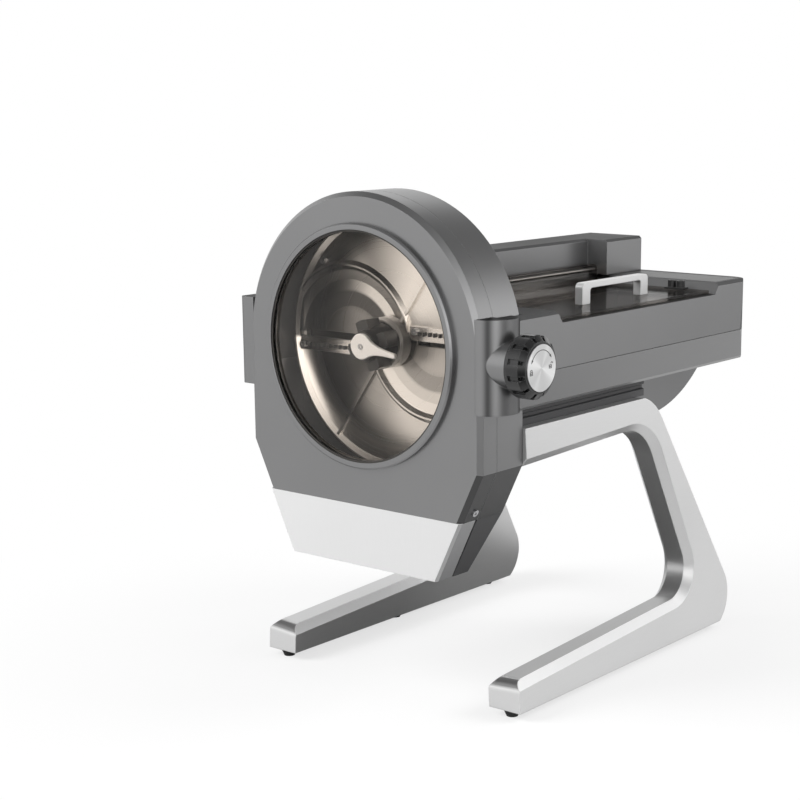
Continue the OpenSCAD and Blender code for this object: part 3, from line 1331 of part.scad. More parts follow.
// Side outline of a leg: an open C with a long foot, a leaning post and a short top beam.
lean_room = leg_w * tan(leg_splay);
post_line = [-post_run, leg_top_z + lean_room - foot_h];
heel = meet([leg_foot_corner_y, foot_h], post_line, [0, foot_h - heel_drop], [1, 0]);
leg_outer = [[leg_front_y, foot_h - heel_drop], heel, [leg_top_corner_y, leg_top_z + lean_room],
  [leg_front_y, leg_top_z + lean_room]];
leg_outer_radii = [0.05, heel_r, knee_r, 0.05];
opening_low_y = leg_foot_corner_y - post_low;
opening_high_y = leg_top_corner_y - post_high;
foot_slope = (foot_rear_h - foot_front_h) / (opening_low_y - leg_front_y);
beam_slope = (beam_front_h - beam_rear_h) / (opening_high_y - leg_front_y);
opening = [[leg_front_y - 12, foot_h + foot_front_h - 12 * foot_slope], [opening_low_y, foot_h + foot_rear_h],
  [opening_high_y, leg_top_z - beam_rear_h], [leg_front_y - 12, leg_top_z - beam_front_h - 12 * beam_slope]];
opening_radii = [0.05, opening_low_r, opening_high_r, 0.05];

module leg_side() difference() {
  toe_z = foot_h + foot_front_h - toe_r;
  intersection() {
    rounded(leg_outer, leg_outer_radii);
    translate([0, foot_h - lean_room]) square([2 * leg_foot_corner_y, 2 * leg_top_z]);
  }
  rounded(opening, opening_radii);
  difference() {
    translate([leg_front_y - bite, toe_z]) square([toe_r + bite, toe_r + 2]);
    translate([leg_front_y + toe_r, toe_z]) circle(toe_r);
  }
}

// Chamfer along one straight edge of the opening, on the face x = face.
module chamfer_run(a, b, face) {
  run = b - a;
  translate([face, a[0], a[1]]) rotate([atan2(run[1], run[0]), 0, 0]) along_y(0, norm(run))
    polygon([[-leg_chamfer - bite, bite], [bite, bite], [bite, -leg_chamfer - bite]]);
}

// Chamfer around one rounded corner of the opening.
module chamfer_corner(i, face) {
  middle = round_middle(opening, opening_radii, i);
  translate([face - leg_chamfer - bite, middle[0], middle[1]]) rotate([0, 90, 0])
    cylinder(h = leg_chamfer + 2 * bite, r1 = opening_radii[i] - bite,
      r2 = opening_radii[i] + leg_chamfer + bite);
}

module leg_chamfers(face) {
  chamfer_run(opening[0], touch_in(opening, opening_radii, 1), face);
  chamfer_corner(1, face);
  chamfer_run(touch_out(opening, opening_radii, 1), touch_in(opening, opening_radii, 2), face);
  chamfer_corner(2, face);
  chamfer_run(touch_out(opening, opening_radii, 2), opening[3], face);
}

module leg() difference() {
  intersection() {
    translate([leg_x, 0, 0]) rotate([0, -leg_splay, 0]) translate([-leg_x, 0, 0]) difference() {
      along_x(leg_x - leg_w / 2, leg_face_x) leg_side();
      leg_chamfers(leg_face_x);
      translate([2 * leg_x, 0, 0]) mirror([1, 0, 0]) leg_chamfers(leg_face_x);
    }
    box(0, 2 * leg_x, 0, 2 * leg_foot_corner_y, foot_h, leg_top_z);
  }
  for (y = bolt_rows) {
    rod_z(leg_top_z - 2 * bolt_seat, leg_top_z + bite, bolt_x, y, bolt_r + screw_gap);
    rod_z(leg_top_z - 3 * bolt_seat, bolt_seat_z, bolt_x, y, bolt_head_r + 4 * screw_gap);
  }
  box(0, 2 * clear_x, 0, shell_front_y, leg_top_z - 2 * beam_front_h, leg_top_z + bite);
}

module right_leg() color([0.8, 0.8, 0.8]) placed() leg();
module left_leg() color([0.8, 0.8, 0.8]) placed() mirror([1, 0, 0]) leg();

module rubber_feet() color([0.05, 0.05, 0.05]) placed() both_sides() for (y = foot_rows)
  translate([leg_x, y, 0]) cylinder(h = foot_h, r1 = foot_r - foot_taper, r2 = foot_r);

function rail_rear() = leg_top_corner_y - 1;

module leg_rails() color([0.12, 0.12, 0.12]) placed() both_sides() difference() {
  side = rail_w / 2;
  along_y(shell_front_y, rail_rear()) translate([leg_at(leg_top_z), leg_top_z]) polygon([[-side, 0], [side, 0],
    [side, 0.36 * rail_h], [side - rail_groove, 0.42 * rail_h], [side - rail_groove, 0.58 * rail_h],
    [side, 0.64 * rail_h], [side, rail_h], [-side, rail_h]]);
  for (y = bolt_rows) rod_z(leg_top_z - bite, body_bottom_z + bite, bolt_x, y, bolt_r + screw_gap);
}

module leg_bolts() color([0.62, 0.62, 0.63]) placed() both_sides() for (y = bolt_rows) {
  difference() {
    rod_z(bolt_seat_z - bolt_head_h, bolt_seat_z, bolt_x, y, bolt_head_r);
    translate([bolt_x, y, bolt_seat_z - bolt_head_h]) socket_head(bolt_head_h / 2, bolt_r);
  }
  rod_z(bolt_seat_z, floor_z - screw_gap, bolt_x, y, bolt_r);
}

left_leg();
right_leg();
rubber_feet();
leg_rails();
leg_bolts();
lower_body_shell();
upper_body_shell();
motor_cowl();
hinge_tower();
deck_panel();
bulkhead();
rear_head_housing();
rear_chute();
trough_liner();
feed_belt();
roller_bearings();
feed_motor();
drive_motor();
motor_bracket();
drive_belt();
shaft_bearing();
latch_strike();
door_hinge_bracket();
door_hinge_pin();
lid_hinge_rod();
lid_hinge_post();
body_screws();
mains_inlet();
switch_frame();
switch_rocker();
front_cover();
window_ring();
window_pane();
window_seal();
door_gasket();
latch_column();
hinge_block();
chute_plate();
chute_screws();
lock_grip();
lock_face();
lock_shaft();
lock_hook();
main_shaft();
large_wheel();
cutter_disc();
slicing_blades();
blade_combs();
blade_screws();
hub_ring();
clamp_knob();
clamp_lever();
clamp_screw();
lid_panel();
lid_handle();
handle_screws();
lid_catch();
front_roller();
rear_roller();
motor_wheel();
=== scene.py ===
import math

import bpy
import numpy as np
from bpy.props import FloatProperty, FloatVectorProperty, PointerProperty
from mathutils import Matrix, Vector


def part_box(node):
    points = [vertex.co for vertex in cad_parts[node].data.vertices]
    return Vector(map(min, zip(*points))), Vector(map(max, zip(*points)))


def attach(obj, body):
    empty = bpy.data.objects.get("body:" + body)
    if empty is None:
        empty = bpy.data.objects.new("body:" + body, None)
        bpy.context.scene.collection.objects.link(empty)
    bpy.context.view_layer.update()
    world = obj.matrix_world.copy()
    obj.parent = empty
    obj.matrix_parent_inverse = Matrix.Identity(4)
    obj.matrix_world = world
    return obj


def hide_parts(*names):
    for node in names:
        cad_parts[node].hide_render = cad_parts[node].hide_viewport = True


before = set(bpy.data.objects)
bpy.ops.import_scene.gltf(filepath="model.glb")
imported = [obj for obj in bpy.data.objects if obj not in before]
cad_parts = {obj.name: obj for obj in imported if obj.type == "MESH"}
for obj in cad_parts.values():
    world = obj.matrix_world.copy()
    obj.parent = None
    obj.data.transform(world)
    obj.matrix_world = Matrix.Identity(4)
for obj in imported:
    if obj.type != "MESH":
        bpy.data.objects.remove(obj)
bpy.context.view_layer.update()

bl_info = {
    "name": "Vegetable cutter finishes",
    "version": (1, 0, 0),
    "blender": (4, 5, 0),
    "location": "View3D > Sidebar > Cutter",
    "description": "Finishes, signs and stage for a tabletop electric vegetable cutter",
    "category": "Object",
}

MM = 0.001

# Finishes; rays are painted reflection rays, each (angle, sharpness, strength); the chamber colour is painted shade
CLOUD_SCALE = 11.0
GRAIN_SCALE = 1500.0
BRUSH_SCALE = 1400.0
CHAMBER_SHADE = (0.050, 0.047, 0.043, 1.0)
SIDE_FOLD_GREY = ((0.33, 0.33, 0.335, 1.0), (0.43, 0.43, 0.435, 1.0))
CHAMBER_WALL = 11 * MM
CHAMBER_START = 1.5 * MM
COLUMN_RADIUS = 23 * MM
COLUMN_INSET = 1 * MM
RING_LIP = 98.2 * MM
DISC_FACE = 4 * MM
POCKET_DROP = 5 * MM
POCKET_SHIFT = (48 * MM, 9 * MM)
HUB_RAYS = ((288, 8.0, 0.85), (112, 10.0, 0.75))
DISC_RAYS = ((52, 6.0, 1.05), (121, 160.0, 0.40), (245, 60.0, 0.25), (289, 12.0, 0.85), (322, 60.0, 0.30))
BLACK, WHITE = (0, 0, 0, 1), (1, 1, 1, 1)

# Clamp lever
LEVER_HEAD = 11 * MM
LEVER_REACH = 36 * MM
LEVER_TIP = 1.9 * MM
LEVER_BEVEL = 0.6 * MM
LEVER_DROOP = 8

# Stage: name, offset, side and power of each lamp; levels of light round the machine; the camera in pixels
LAMPS = (("key_softbox", (-1.5, -1.9, 1.6), 1.6, 86.0),
         ("side_softbox", (1.7, 1.3, 1.6), 1.4, 52.0),
         ("top_softbox", (0.2, 0.3, 2.4), 1.6, 10.0))
LAMP_AIM = (0.0, 0.2, 0.24)
FLOOR_HALF = 9
PLAIN_LEVEL = 0.30
CEILING_LEVEL = 0.25
HORIZON_LEVEL = 0.8
IMAGE_SIDE = 800
FOCAL_PIXELS = 1725.8
IMAGE_CENTRE = (485, 450)
SENSOR = 36.0
CAMERA_AIM = (17.9, 150.0, 197.9)


def datum():
    """A point on the head's middle plane, at the depth of the window pane's rear face and at the table's height."""
    low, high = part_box("window_pane")
    return Vector(((low.x + high.x) / 2, high.y, 0.0))


def middle(node):
    """Middle of a node's box."""
    low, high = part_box(node)
    return (low + high) / 2


# Materials

def calc(tree, operation, *values):
    """A Math node on numbers and wires."""
    made = tree.nodes.new("ShaderNodeMath")
    made.operation = operation
    for slot, value in zip(made.inputs, values):
        join(tree, slot, value)
    return Wire(tree, made.outputs[0])


def join(tree, slot, value):
    """Link a wire to a socket, or set a plain value on it."""
    if isinstance(value, Wire):
        tree.links.new(value.socket, slot)
    else:
        slot.default_value = value


class Wire:
    """A value inside a finish. Arithmetic on it adds Math nodes, so a formula reads as written."""

    def __init__(self, tree, socket):
        self.tree = tree
        self.socket = socket

    def __add__(self, other):
        return calc(self.tree, "ADD", self, other)

    def __radd__(self, other):
        return calc(self.tree, "ADD", other, self)

    def __sub__(self, other):
        return calc(self.tree, "SUBTRACT", self, other)

    def __rsub__(self, other):
        return calc(self.tree, "SUBTRACT", other, self)

    def __mul__(self, other):
        return calc(self.tree, "MULTIPLY", self, other)

    def __rmul__(self, other):
        return calc(self.tree, "MULTIPLY", other, self)

    def __pow__(self, other):
        return calc(self.tree, "POWER", self, other)

    def call(self, operation, *others):
        return calc(self.tree, operation, self, *others)

    def clamped(self, low=0.0, high=1.0):
        return calc(self.tree, "MINIMUM", calc(self.tree, "MAXIMUM", self, low), high)

    def rise(self, start, stop):
        """0 below the start, 1 past the stop, straight between them."""
        return ((self - start) * (1.0 / (stop - start))).clamped()

    def lobe(self, angle, sharp):
        """1 where this angle is the given one in degrees, falling off round the circle."""
        return ((self - math.radians(angle)).call("COSINE") * 0.5 + 0.5) ** sharp

    def rays(self, table):
        """Sum of lobes, each given as (angle, sharpness, strength)."""
        return sum(self.lobe(angle, sharp) * strength for angle, sharp, strength in table)


class Finish:
    """Builds one material: a surface shader fed by object-space patterns."""

    def __init__(self, name):
        self.material = bpy.data.materials.new(name)
        self.material.use_nodes = True
        self.tree = self.material.node_tree
        self.tree.nodes.clear()
        self.place = self.node("ShaderNodeTexCoord", output="Object")

    def node(self, kind, settings=None, sockets=None, output=0):
        """Any node: its settings first, then its sockets by name or identifier."""
        made = self.tree.nodes.new(kind)
        for key, value in (settings or {}).items():
            setattr(made, key, value)
        for key, value in (sockets or {}).items():
            slot = next(s for s in made.inputs if key in (s.identifier, s.name))
            join(self.tree, slot, value)
        return Wire(self.tree, made.outputs[output])

    def noise(self, scale, detail, stretch=None):
        """Cloudy pattern between 0 and 1; stretch scales the axes first."""
        place = self.place
        if stretch:
            place = self.node("ShaderNodeMapping", None, {"Vector": place, "Scale": stretch})
        return self.node("ShaderNodeTexNoise", None, {"Vector": place, "Scale": scale, "Detail": detail}, "Fac")

    def rings(self, far, scale):
        """Fine noise that changes only with the distance from an axis."""
        return self.node("ShaderNodeTexNoise", {"noise_dimensions": "1D"},
                         {"W": far, "Scale": scale, "Detail": 2.0}, "Fac")

    def blend(self, factor, first, second):
        """Colour between two colours."""
        return self.node("ShaderNodeMix", {"data_type": "RGBA"},
                         {"Factor_Float": factor, "A_Color": first, "B_Color": second}, 2)

    def axes(self, centre):
        """Distances from a centre along x, y and z."""
        moved = self.node("ShaderNodeVectorMath", {"operation": "SUBTRACT"},
                          {"Vector": self.place, "Vector_001": tuple(centre)})
        split = self.node("ShaderNodeSeparateXYZ", None, {"Vector": moved})
        return [Wire(self.tree, s) for s in split.socket.node.outputs]

    def facing(self):
        """The three parts of the surface's own direction."""
        way = self.node("ShaderNodeTexCoord", None, None, "Normal")
        split = self.node("ShaderNodeSeparateXYZ", None, {"Vector": way})
        return [Wire(self.tree, split.socket.node.outputs[n]) for n in "XYZ"]

    def soft_edges(self, radius):
        """Normal that rounds sharp edges, and a mask that is 1 on them."""
        rounded = self.node("ShaderNodeBevel", {"samples": 4}, {"Radius": radius})
        flat = self.node("ShaderNodeNewGeometry", output="True Normal")
        same = self.node("ShaderNodeVectorMath", {"operation": "DOT_PRODUCT"},
                         {"Vector": rounded, "Vector_001": flat}, "Value")
        return rounded, ((1.0 - same) * 6.0).clamped()

    def bump(self, height, distance, strength, normal=None):
        """Normal with a height pattern in it, on top of another normal where one is given."""
        sockets = {"Height": height, "Distance": distance, "Strength": strength}
        if normal is not None:
            sockets["Normal"] = normal
        return self.node("ShaderNodeBump", None, sockets)

    def surface(self, **sockets):
        """Principled surface as the material's end; plain numbers are set on its own sockets."""
        named = {key.replace("_", " "): value for key, value in sockets.items()}
        shader = self.node("ShaderNodeBsdfPrincipled", None, named)
        return self.end(shader)

    def end(self, shader):
        """The finished material, with this shader as its surface."""
        out = self.tree.nodes.new("ShaderNodeOutputMaterial")
        join(self.tree, out.inputs["Surface"], shader)
        return self.material


def shade(colour, amount):
    """A colour made lighter or darker, with full alpha."""
    return (*[min(1.0, c * amount) for c in colour[:3]], 1.0)


def length(u, v):
    """Distance from an axis, from the two distances across it."""
    return (u * u + v * v).call("SQRT")


def uneven(rough, *patterns):
    """A roughness that (pattern, amount) pairs move up and down about its middle."""
    for pattern, amount in patterns:
        rough = rough + (pattern - 0.5) * amount
    return rough.clamped(0.05, 1.0)


def satin(f, colour, radius):
    """What satin paint shares: its clouding, its grain, rounded edges with their mask, and the clouded colour."""
    cloud = f.noise(CLOUD_SCALE, 3.0)
    speck = f.noise(GRAIN_SCALE, 2.0)
    rounded, rim = f.soft_edges(radius)
    return cloud, speck, rounded, rim, f.blend(cloud, shade(colour, 0.95), shade(colour, 1.05))


def moulding(name, colour, rough, grain=0.5, edge=1.35, radius=0.7 * MM, metallic=0.0, chamber=None, gloss=0.5,
             top=1.0, graze=1.0, column=None):
    """Satin shell: faint clouding, fine grain and edges lightened by a painted highlight.

    The chamber is (centre, radius): the inside is what lies nearer to the front-to-back axis than that radius,
    behind the centre, apart from the rear wall's own back, and it is painted dark as shade; the sides that face
    down are darkened too, as painted shade. Top darkens the faces that look up as painted shade, and graze dims
    what a face mirrors at a flat angle. The column is the axis of an upright round face, which gets a painted
    reflection: one light band between two dark ones.
    """
    f = Finish(name)
    cloud, speck, rounded, rim, body = satin(f, colour, radius)
    # Painted highlight: edges are lightened in the base colour by the edge factor.
    tint = f.blend(rim * 0.6, body, shade(colour, edge))
    _, ny, nz = f.facing()
    # Painted shade: faces that look up are darkened by the top factor.
    if top < 1.0:
        tint = f.blend(nz.rise(0.90, 0.97), tint, shade(colour, top))
    # Painted reflection: one light band between two dark ones, round the column's axis.
    if column is not None:
        x, y, _ = f.axes(column)
        turn = y.call("ARCTAN2", x)
        near = 1.0 - length(x, y).rise(COLUMN_RADIUS + 0.3 * MM, COLUMN_RADIUS + 0.9 * MM)
        tint = f.blend(turn.lobe(-40, 120.0) * near * 0.9, tint, shade(colour, 1.6))
        bands = (turn.lobe(-60, 150.0) + turn.lobe(0, 80.0) * 0.4) * near
        tint = f.blend(bands.clamped() * 0.8, tint, shade(colour, 0.12))
    if chamber is not None:
        x, y, z = f.axes(chamber[0])
        back = y.call("GREATER_THAN", 30 * MM) * ny.call("GREATER_THAN", 0.5)
        within = length(x, z).call("LESS_THAN", chamber[1]) * y.call("GREATER_THAN", 0.0)
        inside = within * (1.0 - back)
        # Painted shade: faces that look down are darkened.
        tint = f.blend((nz * -1.0).rise(0.12, 0.30), tint, shade(colour, 0.30))
        # Painted shade: the inside of the chamber is made dark and not metallic.
        tint = f.blend(inside, tint, CHAMBER_SHADE)
        metallic = metallic * (1.0 - inside)
    return f.surface(
        Base_Color=tint,
        Metallic=metallic,
        Specular_IOR_Level=gloss,
        Specular_Tint=(graze, graze, graze, 1.0),
        Roughness=uneven(rough, (cloud, 0.10), (speck, 0.10)),
        Normal=f.bump(speck, 0.03 * MM, 0.5 * grain, rounded))


def ring_finish(name, colour, centre, bore):
    """Satin ring whose inner lip, what lies within the bore about a front-to-back axis, is painted pale and less
    metallic as a highlight.
    """
    f = Finish(name)
    x, _, z = f.axes(centre)
    lip = 1.0 - length(x, z).rise(bore, bore + 0.4 * MM)
    cloud, speck, rounded, rim, body = satin(f, colour, 0.7 * MM)
    # Painted highlight: the inner lip and the edges are lightened.
    tint = f.blend((lip * 0.8 + rim * 0.6).clamped(), body, shade(colour, 1.6))
    return f.surface(
        Base_Color=tint,
        Metallic=0.9 - lip * 0.5,
        Roughness=uneven(0.32, (cloud, 0.10), (speck, 0.10)),
        Normal=f.bump(speck, 0.03 * MM, 0.25, rounded))


def alloy(name, colour, rough, stretch, metallic=1.0, lines=0.4, radius=0.8 * MM, chamfer_highlight=0.0):
    """Metal with fine brush lines, which are noise drawn out along one axis, and edges lightened by a painted
    highlight.

    The last argument is for the legs: chamfers that face up and sideways are painted pale as a highlight, while the
    top of the right arm and the faces that lean forward, those of the toes most of all, are darkened as painted
    shade.
    """
    f = Finish(name)
    brush = f.noise(BRUSH_SCALE, 3.0, stretch)
    cloud = f.noise(7.0, 2.0)
    rounded, rim = f.soft_edges(radius)
    body = f.blend(cloud * 0.6 + brush * 0.4, shade(colour, 0.90), shade(colour, 1.08))
    # Painted highlight: edges are lightened in the base colour.
    pale = rim * 0.5
    if chamfer_highlight:
        # Painted light on the legs: pale chamfers as highlight; the right arm's top and faces leaning forward
        # darkened as shade.
        nx, ny, nz = f.facing()
        chamfer = (nx.call("ABSOLUTE") * nz * 2.0).rise(0.45, 0.85)
        x, y, _ = f.axes((0.0, 0.0, 0.0))
        leaning = (ny * -1.0).rise(0.08, 0.30) * nz.rise(0.30, 0.50) * (1.0 - y.rise(-0.16, -0.13) * 0.7)
        painted_shade = nz.rise(0.90, 0.97) * x.call("GREATER_THAN", 0.0) * 0.5 + leaning
        body = f.blend(painted_shade.clamped() * (1.0 - chamfer), body, shade(colour, 0.32))
        pale = (pale + chamfer * chamfer_highlight).clamped()
        metallic = metallic * (1.0 - chamfer * 0.8)
    return f.surface(
        Base_Color=f.blend(pale, body, shade(colour, 1.5)),
        Metallic=metallic,
        Roughness=uneven(rough, (brush, 0.16), (cloud, 0.06)),
        Normal=f.bump(brush, 0.02 * MM, lines, rounded))


def coated_plate(name, colour):
    """Pale coating on the front of a folded plate, with edges lightened by a painted highlight; the folds that face
    sideways are a darker, more metallic brushed grey.
    """
    f = Finish(name)
    brush = f.noise(BRUSH_SCALE, 3.0, (1.0, 1.0, 0.06))
    cloud = f.noise(7.0, 2.0)
    rounded, rim = f.soft_edges(0.5 * MM)
    nx, _, _ = f.facing()
    # The folds that face sideways are darker and more metallic.
    side_folds = nx.call("ABSOLUTE").rise(0.5, 0.7)
    coat = f.blend(cloud * 0.6 + brush * 0.4, shade(colour, 0.95), shade(colour, 1.05))
    metal = f.blend(brush, *SIDE_FOLD_GREY)
    return f.surface(
        # Painted highlight: edges are lightened in the base colour.
        Base_Color=f.blend((rim * 0.4).clamped(), f.blend(side_folds, coat, metal), shade(colour, 1.15)),
        Metallic=0.1 + side_folds * 0.7,
        Roughness=uneven(0.48, (brush, 0.16)),
        Normal=f.bump(brush, 0.02 * MM, 0.15, rounded))


def turned(name, colour, rough, centre, metallic=1.0):
    """Turned metal about a front-to-back axis: fine rings, and two light rays of painted reflection across a darker
    body.
    """
    f = Finish(name)
    x, _, z = f.axes(centre)
    ring = f.rings(length(x, z), 1800.0)
    cloud = f.noise(16.0, 2.0)
    rounded, rim = f.soft_edges(0.5 * MM)
    # Painted reflection: light rays round the axis over a darker body; edges lightened as a painted highlight.
    rays = z.call("ARCTAN2", x).rays(HUB_RAYS)
    tone = (0.10 + rays + (cloud * 0.5 + ring * 0.5 - 0.5) * 0.2).clamped()
    body = f.blend(tone, shade(colour, 0.16), shade(colour, 1.08))
    return f.surface(
        Base_Color=f.blend(rim * 0.3, body, shade(colour, 1.3)),
        Metallic=metallic,
        Roughness=uneven(rough, (ring, 0.12), (cloud, 0.08)),
        Normal=f.bump(ring, 0.006 * MM, 1.0, rounded))


def spun_disc(name, colour, rough, centre, front, drop, pocket):
    """Spun steel disc: painted reflection in rays of light and dark round its middle, fine rings, and pocket floors
    whose painted reflection steps in tone.

    Front is the place of the plain face, drop the depth of the pockets behind it, and pocket how far the upper
    pocket's middle lies to the left and below. A painted highlight, a bright crescent, lies where a shifted circle
    leaves the rim, and the face rolls up into the rim.
    """
    f = Finish(name)
    x, y, z = f.axes(centre)
    far = length(x, z)
    turn = z.call("ARCTAN2", x)
    deep = (y - (front - centre[1])) * (1.0 / drop)
    ring = f.rings(far, 1500.0)
    # Painted reflection: light and dark rays round the middle.
    rays = turn.rays(DISC_RAYS)
    upper = z.rise(-1 * MM, 1 * MM)
    sunk, second, floor = deep.rise(0.02, 0.08), deep.rise(0.64, 0.68), deep.rise(0.90, 0.93)
    # Painted highlight in the upper pocket, and painted reflection tones that step across the pocket floors.
    lit = (z + pocket[1]).call("ARCTAN2", x + pocket[0]).lobe(48, 9.0)
    pocket_tone = (upper * ((0.04 + lit * 1.1) * (1.0 - second) + second * 0.07 + floor * 0.20)
                   + (1.0 - upper) * (0.72 - second * 0.42 + floor * 0.24))
    shifted = length(x - 15 * MM, z - 10 * MM)
    roll = far.rise(90 * MM, 106 * MM) * turn.lobe(206, 6.0)
    # Painted highlight: a bright crescent near the lower rim and a light at the rim's upper left.
    rim = (shifted.rise(0.100, 0.116) * 1.2 * (-1.0 * z).rise(3 * MM, 7 * MM)
           + far.rise(0.090, 0.100) * turn.lobe(131, 120.0) * 0.6)
    tone = (0.03 + (rays + rim) * (1.0 - sunk) + pocket_tone * sunk + (ring - 0.5) * 0.08).clamped()
    # Painted highlight: edges are lightened in the base colour.
    rounded, edge = f.soft_edges(0.5 * MM)
    return f.surface(
        Base_Color=f.blend((tone + edge * 0.25).clamped(), shade(colour, 0.07), shade(colour, 1.15)),
        Metallic=1.0,
        Roughness=uneven(rough, (ring, 0.12)),
        Normal=f.bump(ring * (0.006 * MM) + roll * roll * (6 * MM), 1.0, 1.0, rounded))


def spun(name, colour, centre):
    """Spun face of the knob: painted reflection in rays of light and dark round its middle, with fine rings."""
    f = Finish(name)
    _, y, z = f.axes(centre)
    turn = z.call("ARCTAN2", y)
    # Painted reflection: wide and narrow light rays round the middle.
    wide = ((turn * 2.0 + 0.6).call("COSINE") * 0.5 + 0.5) ** 3.0
    narrow = ((turn * 4.0 + 1.9).call("COSINE") * 0.5 + 0.5) ** 6.0
    ring = f.rings(length(y, z), 6000.0)
    tone = ((wide + narrow * 0.5) * 0.7 + ring * 0.3).clamped()
    return f.surface(
        Base_Color=f.blend(tone, shade(colour, 0.80), shade(colour, 1.15)),
        Metallic=0.9,
        Roughness=(0.42 - tone * 0.12).clamped(0.1, 1.0),
        Normal=f.bump(ring, 0.01 * MM, 0.6))


def smoked(name, tint, gloss_rough, density):
    """Clear smoked sheet: light passes tinted, and the surface mirrors more at grazing sight."""
    f = Finish(name)
    cloud = f.noise(5.0, 2.0)
    clear = f.node("ShaderNodeBsdfTransparent", None, {"Color": shade(tint, 1.0)})
    gloss = f.node("ShaderNodeBsdfGlossy", None, {"Color": WHITE, "Roughness": gloss_rough})
    facing = f.node("ShaderNodeFresnel", None, {"IOR": 1.38})
    share = (facing * density * (0.9 + cloud * 0.2)).clamped()
    return f.end(f.node("ShaderNodeMixShader", None, {"Fac": share, "Shader": clear, "Shader_001": gloss}))


def rubbery(name, colour, rough=0.75, scale=700.0):
    """Matt rubber with a fine open grain."""
    f = Finish(name)
    grain = f.noise(scale, 3.0)
    rounded, _ = f.soft_edges(0.4 * MM)
    return f.surface(
        Base_Color=f.blend(grain, shade(colour, 0.8), shade(colour, 1.3)),
        Roughness=uneven(rough, (grain, 0.2)),
        Normal=f.bump(grain, 0.05 * MM, 0.5, rounded))


def ribbed(name, colour, pitch):
    """Belt rubber with ribs across its run, and painted shade that darkens the grooves."""
    f = Finish(name)
    _, y, _ = f.axes((0.0, 0.0, 0.0))
    rib = ((y * (2.0 * math.pi / pitch)).call("SINE") * 2.0).clamped(-1.0, 1.0)
    grain = f.noise(500.0, 2.0)
    # Painted shade: the colour follows the ribs, darker in the grooves and lighter on their tops.
    return f.surface(
        Base_Color=f.blend((rib * 0.35 + grain * 0.3 + 0.3).clamped(), shade(colour, 0.6), shade(colour, 1.5)),
        Roughness=uneven(0.6, (grain, 0.2)),
        Normal=f.bump(rib * 0.5 + grain * 0.2, 0.4 * MM, 0.6))


def dress(material, *nodes):
    """Give a finish to CAD nodes or new pieces."""
    for node in nodes:
        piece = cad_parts[node] if isinstance(node, str) else node
        if not piece.material_slots:
            piece.data.materials.append(material)
        for slot in piece.material_slots:
            slot.material = material


# Shapes

def sheet_mesh(name, parts):
    """One new piece from several (points, faces) surfaces, each a grid with four-cornered faces."""
    points, faces, base = [], [], 0
    for grid, corners in parts:
        points.append(grid.reshape(-1, 3))
        faces.append(corners + base)
        base += len(points[-1])
    mesh = bpy.data.meshes.new(name)
    mesh.from_pydata(np.concatenate(points), [], np.concatenate(faces))
    mesh.validate()
    piece = bpy.data.objects.new(name, mesh)
    bpy.context.scene.collection.objects.link(piece)
    return piece


def quads(rows, columns, wrap=False):
    """Faces of a grid with that many points each way; wrap closes the columns."""
    last = columns if wrap else columns - 1
    i, j = np.meshgrid(np.arange(rows - 1), np.arange(last), indexing="ij")
    k = (j + 1) % columns
    here, there = i * columns, (i + 1) * columns
    return np.stack([here + j, here + k, there + k, there + j], -1).reshape(-1, 4)


def stroke(path, wide, high):
    """A raised sign stroke: a flat bar of a given width and height carried along a path in the (u, v) plane.

    Each path point moves by half the width along the path's left normal, to both sides, at heights 0 and high.
    """
    path = np.asarray(path, float)
    run = np.gradient(path, axis=0)
    run /= np.linalg.norm(run, axis=1, keepdims=True)
    left = np.stack([-run[:, 1], run[:, 0]], 1)
    wide = np.broadcast_to(wide, len(path))[:, None]
    corner = np.array([[-0.5, 0.0], [0.5, 0.0], [0.5, 1.0], [-0.5, 1.0]])
    uv = path[:, None, :] + left[:, None, :] * (corner[:, 0][None, :, None] * wide[:, None, :])
    rise = np.broadcast_to(corner[:, 1] * high, uv.shape[:2])
    grid = np.concatenate([uv, rise[..., None]], -1)
    count = len(path)
    ends = np.array([[0, 1, 2, 3], [4 * count - 1, 4 * count - 2, 4 * count - 3, 4 * count - 4]])
    return grid, np.concatenate([quads(count, 4, True)[:, ::-1], ends])


def waisted_plate(head, reach, tip, thick, bevel):
    """Waisted lever: its half-width follows a round head, then falls off as an exponential towards a round tip.

    The outline runs along the lower side and back along the upper one, and is carried up in three rows, the last
    one drawn in by the bevel. The top and the bottom are closed by strips from side to side.
    """
    turn = np.linspace(0.985 * np.pi, math.acos(0.62), 30)
    x, w = head * np.cos(turn), head * np.sin(turn)
    run = np.linspace(x[-1], reach, 31)[1:]
    fall = tip + (w[-1] - tip) * np.exp(-(run - x[-1]) / (0.8 * head))
    round_off = np.linspace(0.0, 0.48 * np.pi, 9)[1:]
    x = np.concatenate([x, run, reach + fall[-1] * np.sin(round_off)])
    w = np.concatenate([w, fall, fall[-1] * np.cos(round_off)])
    count = len(x)
    rows = []
    for height, inset in ((0.0, 0.0), (thick - bevel, 0.0), (thick, bevel)):
        side = np.maximum(w - inset, 0.05 * MM)
        loop = np.stack([np.concatenate([x, x[::-1]]), np.concatenate([-side, side[::-1]])], 1)
        rows.append(np.column_stack([loop, np.full(2 * count, height)]))
    i = np.arange(count - 1)
    strip = np.stack([i, i + 1, 2 * count - 2 - i, 2 * count - 1 - i], 1)
    faces = np.concatenate([quads(3, 2 * count, True), strip[:, ::-1], strip + 4 * count])
    return np.array(rows), faces


def arc(centre, radius, start, stop, count):
    """Points of a circle's arc between two angles in degrees."""
    t = np.radians(np.linspace(start, stop, count))
    return np.stack([centre[0] + radius * np.cos(t), centre[1] + radius * np.sin(t)], 1)


